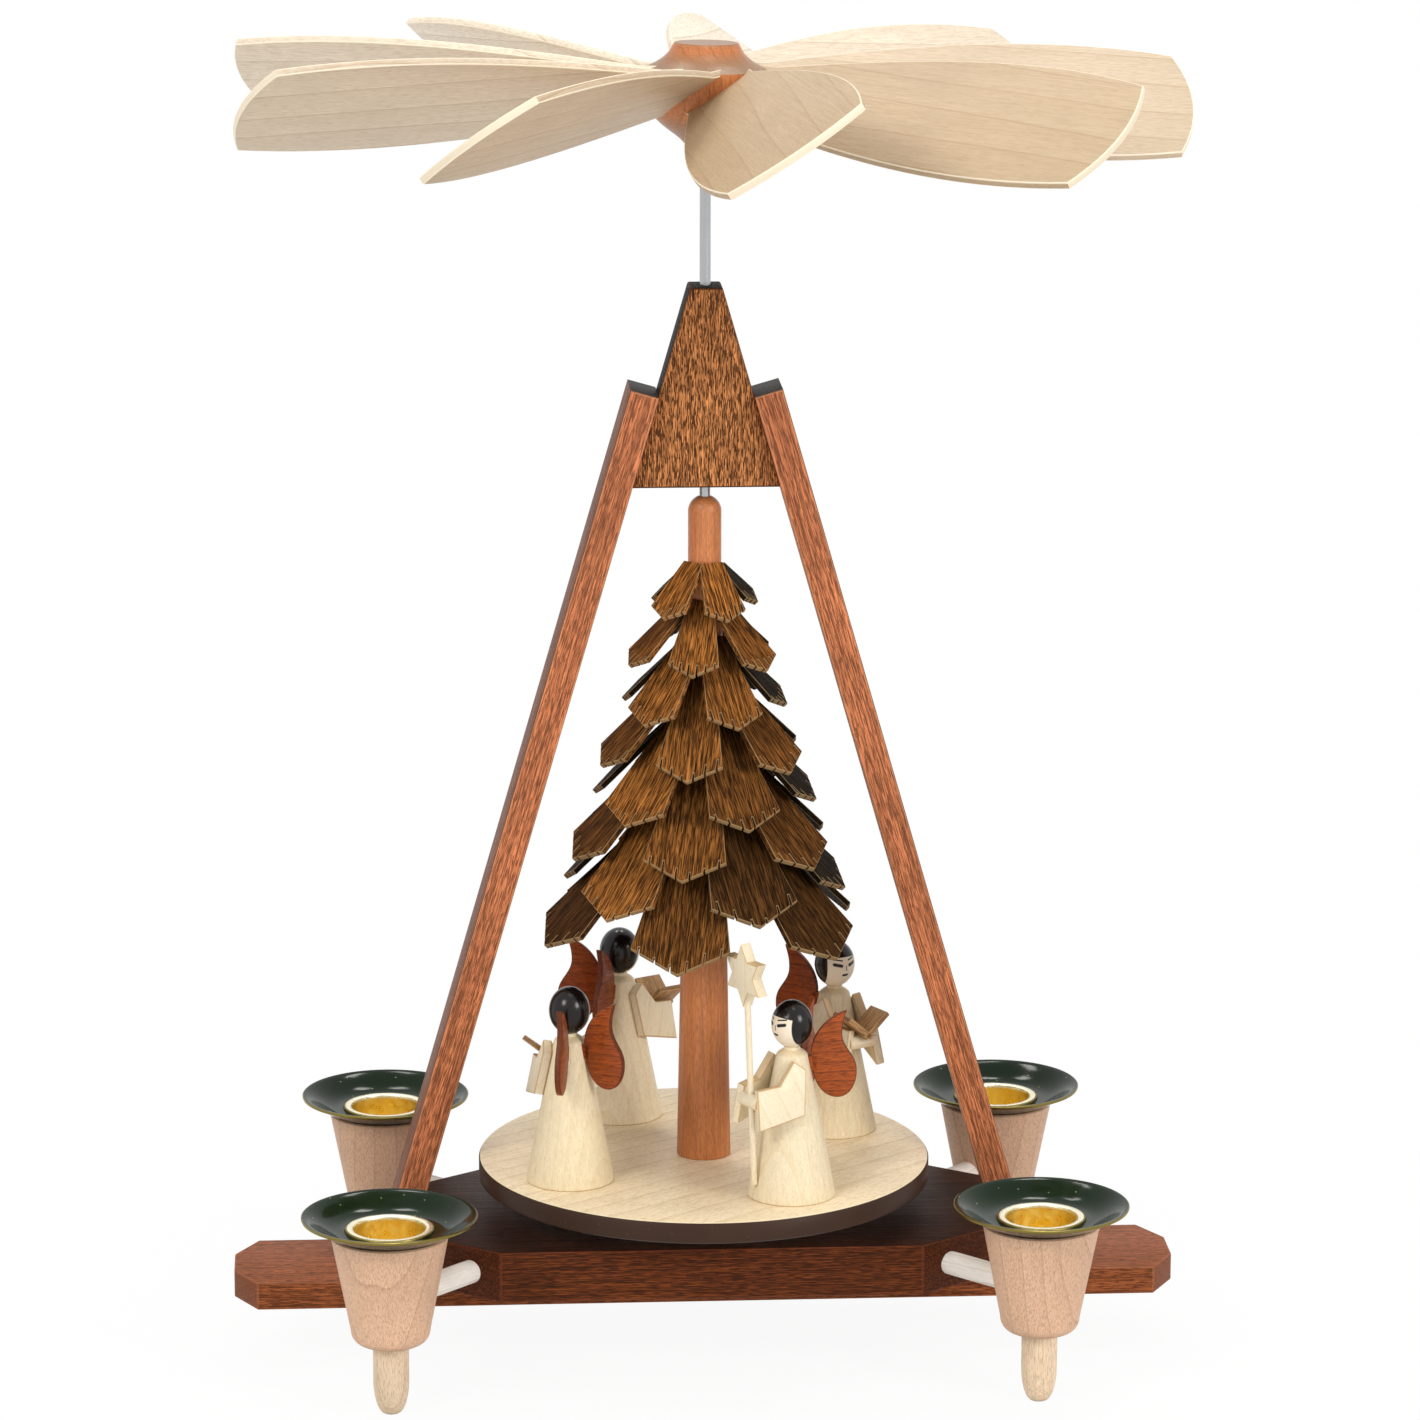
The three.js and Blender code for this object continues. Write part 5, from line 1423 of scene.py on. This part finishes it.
def star_piece(name, place):
    """A six-pointed star on its round staff, which leans a little in the hands."""
    lean = at(HAND_X, 0, HAND_Z) @ about("Y", STAFF_LEAN)
    staff_run = [
        (0, STAFF_BOTTOM_Z - HAND_Z), (STAFF_R, STAFF_BOTTOM_Z - HAND_Z), (STAFF_R, STAFF_TOP_Z - HAND_Z),
        (0, STAFF_TOP_Z - HAND_Z),
    ]
    staff = turned(softened(staff_run, 0.2), STAFF_FACETS)
    grained(staff, along=(0, 0, 1), seed=50)
    points = []
    for k in range(2 * STAR_POINTS):
        radius = STAR_R if k % 2 == 0 else STAR_INNER_R
        angle = k * math.pi / STAR_POINTS
        points.append((radius * math.sin(angle), radius * math.cos(angle)))
    star = grained(board(points, STAR_THICKNESS, STAR_EASING * MM), along=(0, 1, 0), seed=51)
    placed(star, at(0, 0, STAR_Z - HAND_Z) @ about("Z", math.pi / 2) @ upright(STAR_THICKNESS / 2))
    bmesh.ops.recalc_face_normals(star, faces=star.faces)
    whole = placed(joined(staff, star), place @ lean)
    finished(f"{name}_star_staff", whole, ROTOR, "pale_wood", lime_board())


# Stage


def softbox(name, place, size, power, shade):
    """A rectangular lamp of a size in metres and a power in watts, turned to the object."""
    data = bpy.data.lights.new(name, "AREA")
    data.shape = "RECTANGLE"
    data.size, data.size_y = size
    data.energy = power
    data.color = shade
    lamp = new_object(name, data)
    lamp.location = place
    lamp.rotation_euler = (LAMP_TARGET - Vector(place)).to_track_quat("-Z", "Y").to_euler()


def seen_directly(tree):
    """1 for what the camera, a mirror or a glass sees, else 0."""
    path = add(tree, "LightPath")
    seen = add(tree, "Math", {0: path["Is Camera Ray"], 1: path["Is Glossy Ray"]}, operation="MAXIMUM")[0]
    return add(tree, "Math", {0: seen, 1: path["Is Transmission Ray"]}, operation="MAXIMUM")[0]


def light_room(ambient):
    """An even grey room for the light, which shows as white."""
    world = bpy.data.worlds.new("studio")
    bpy.context.scene.world = world
    world.use_nodes = True
    tree = world.node_tree
    tree.nodes.clear()
    strength = add(tree, "MapRange", {"Value": seen_directly(tree), "To Min": ambient, "To Max": 1.0})[0]
    back = add(tree, "Background", {"Color": WHITE, "Strength": strength})[0]
    add(tree, "OutputWorld", {"Surface": back})


@made_once
def floor_paper(tree):
    """White paper sweep: its own shadow stays faint near the object and fades to plain white."""
    where = add(tree, "TexCoord")["Object"]
    away = add(tree, "VectorMath", {0: where}, operation="LENGTH")["Value"]
    fade = {"Value": away, "From Min": 0.05, "From Max": 0.22, "To Min": 0.93, "To Max": 1.0}
    plain = add(tree, "MapRange", fade)[0]
    share = add(tree, "Math", {0: seen_directly(tree), 1: plain}, operation="MULTIPLY")[0]
    paper = add(tree, "BsdfDiffuse", {"Color": darker(WHITE, 0.8)})[0]
    white = add(tree, "Emission", {"Color": WHITE, "Strength": 1.0})[0]
    mixed = add(tree, "MixShader", {0: share, 1: paper, 2: white})[0]
    add(tree, "OutputMaterial", {"Surface": mixed})


def lay_floor():
    bm = bmesh.new()
    bmesh.ops.create_circle(bm, cap_ends=True, segments=64, radius=FLOOR_R)
    new_object("floor", new_mesh("floor", bm, floor_paper("white_paper_floor")))


def set_camera():
    data = bpy.data.cameras.new("camera")
    data.lens = CAMERA_LENS
    data.sensor_width = CAMERA_SENSOR
    camera = new_object("camera", data)
    turn = about("Z", CAMERA_TURN) @ about("X", math.pi / 2 - CAMERA_PITCH)
    camera.matrix_world = Matrix.Translation(CAMERA_PLACE) @ turn @ about("Z", CAMERA_ROLL)
    bpy.context.scene.camera = camera


class PYRAMID_OT_stage(bpy.types.Operator):
    """Sets up the camera, the floor, the pale room and the five softboxes"""

    bl_idname = "pyramid.stage"
    bl_label = "Stage"

    def execute(self, context):
        set_camera()
        lay_floor()
        light_room(AMBIENT)
        for lamp in SOFTBOXES:
            softbox(*lamp)
        context.scene.view_settings.view_transform = "Standard"
        return {"FINISHED"}


class PYRAMID_OT_stand(bpy.types.Operator):
    """Builds the bar, the block, the head, the two legs and the lower bearing"""

    bl_idname = "pyramid.stand"
    bl_label = "Stand"

    def execute(self, context):
        flat_board("base_bar", BAR_CLIP_X, BAR_CLIP_Y, "bar_wood", 1, mahogany_bar(), mahogany_bar())
        clip_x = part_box("base_block")[1].x / MM - BLOCK_FRONT_WIDTH / 2
        clip_y = (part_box("base_block")[1].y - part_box("base_bar")[1].y) / MM
        woods = mahogany_block(), block_top_painted_shade()
        flat_board("base_block", clip_x, clip_y, "block_wood", 2, *woods, well=True)
        head_piece()
        leg_piece("leg_left", -1)
        leg_piece("leg_right", 1)
        pivot_piece()
        return {"FINISHED"}


class PYRAMID_OT_candle_holders(bpy.types.Operator):
    """Builds the four candle cups with their trays, pegs and dowels"""

    bl_idname = "pyramid.candle_holders"
    bl_label = "Candle holders"

    def execute(self, context):
        for number, (name, place) in enumerate(corner_frames()):
            cup_piece(name, place, 30 + number)
            tray_piece(name, place)
            peg_piece(name, place, 34 + number)
            dowel_piece(name, place, 38 + number)
        return {"FINISHED"}


class PYRAMID_OT_turntable(bpy.types.Operator):
    """Builds the shaft, the platform and the trunk"""

    bl_idname = "pyramid.turntable"
    bl_label = "Turntable"

    def execute(self, context):
        shaft_piece()
        platform_piece()
        trunk_piece()
        return {"FINISHED"}


class PYRAMID_OT_tree(bpy.types.Operator):
    """Builds the eight rings of shingles"""

    bl_idname = "pyramid.tree"
    bl_label = "Tree"

    def execute(self, context):
        for index in range(LAYERS):
            layer_piece(index)
        return {"FINISHED"}


class PYRAMID_OT_fan(bpy.types.Operator):
    """Builds the hub and the nine blades"""

    bl_idname = "pyramid.fan"
    bl_label = "Fan"

    def execute(self, context):
        hub_piece()
        for index in range(BLADES):
            blade_piece(index)
        return {"FINISHED"}


class PYRAMID_OT_angels(bpy.types.Operator):
    """Builds the four angels with their wings, books and star"""

    bl_idname = "pyramid.angels"
    bl_label = "Angels"

    def execute(self, context):
        for index in range(ANGELS):
            name = f"angel_{index + 1}"
            place = angel_frame(index)
            seed = 60 + 10 * index
            skirt_piece(name, place, seed)
            head_ball(name, place)
            wings_piece(name, place, seed + 2)
            arms_piece(name, place, seed + 4, holds_book=index > 0)
            if index == 0:
                star_piece(name, place)
        return {"FINISHED"}


OPERATORS = (
    PYRAMID_OT_stage,
    PYRAMID_OT_stand,
    PYRAMID_OT_candle_holders,
    PYRAMID_OT_turntable,
    PYRAMID_OT_tree,
    PYRAMID_OT_fan,
    PYRAMID_OT_angels,
)


class PYRAMID_PT_panel(bpy.types.Panel):
    """Lists the steps that build the pyramid, and its sizes and colours"""

    bl_idname = "PYRAMID_PT_panel"
    bl_label = "Christmas Pyramid"
    bl_space_type = "VIEW_3D"
    bl_region_type = "UI"
    bl_category = "Pyramid"

    def draw(self, context):
        for operator in OPERATORS:
            self.layout.operator(operator.bl_idname)
        for group in (context.scene.pyramid_sizes, context.scene.pyramid_colours):
            for name in group.__annotations__:
                self.layout.prop(group, name)


CLASSES = (PyramidSizes, PyramidColours, *OPERATORS, PYRAMID_PT_panel)


def register():
    for cls in CLASSES:
        bpy.utils.register_class(cls)
    bpy.types.Scene.pyramid_sizes = PointerProperty(type=PyramidSizes)
    bpy.types.Scene.pyramid_colours = PointerProperty(type=PyramidColours)


def unregister():
    del bpy.types.Scene.pyramid_colours
    del bpy.types.Scene.pyramid_sizes
    for cls in reversed(CLASSES):
        bpy.utils.unregister_class(cls)


def main():
    register()
    bpy.ops.pyramid.stage()
    bpy.ops.pyramid.stand()
    bpy.ops.pyramid.candle_holders()
    bpy.ops.pyramid.turntable()
    bpy.ops.pyramid.tree()
    bpy.ops.pyramid.fan()
    bpy.ops.pyramid.angels()
    bpy.context.view_layer.update()


if __name__ == "__main__":
    main()
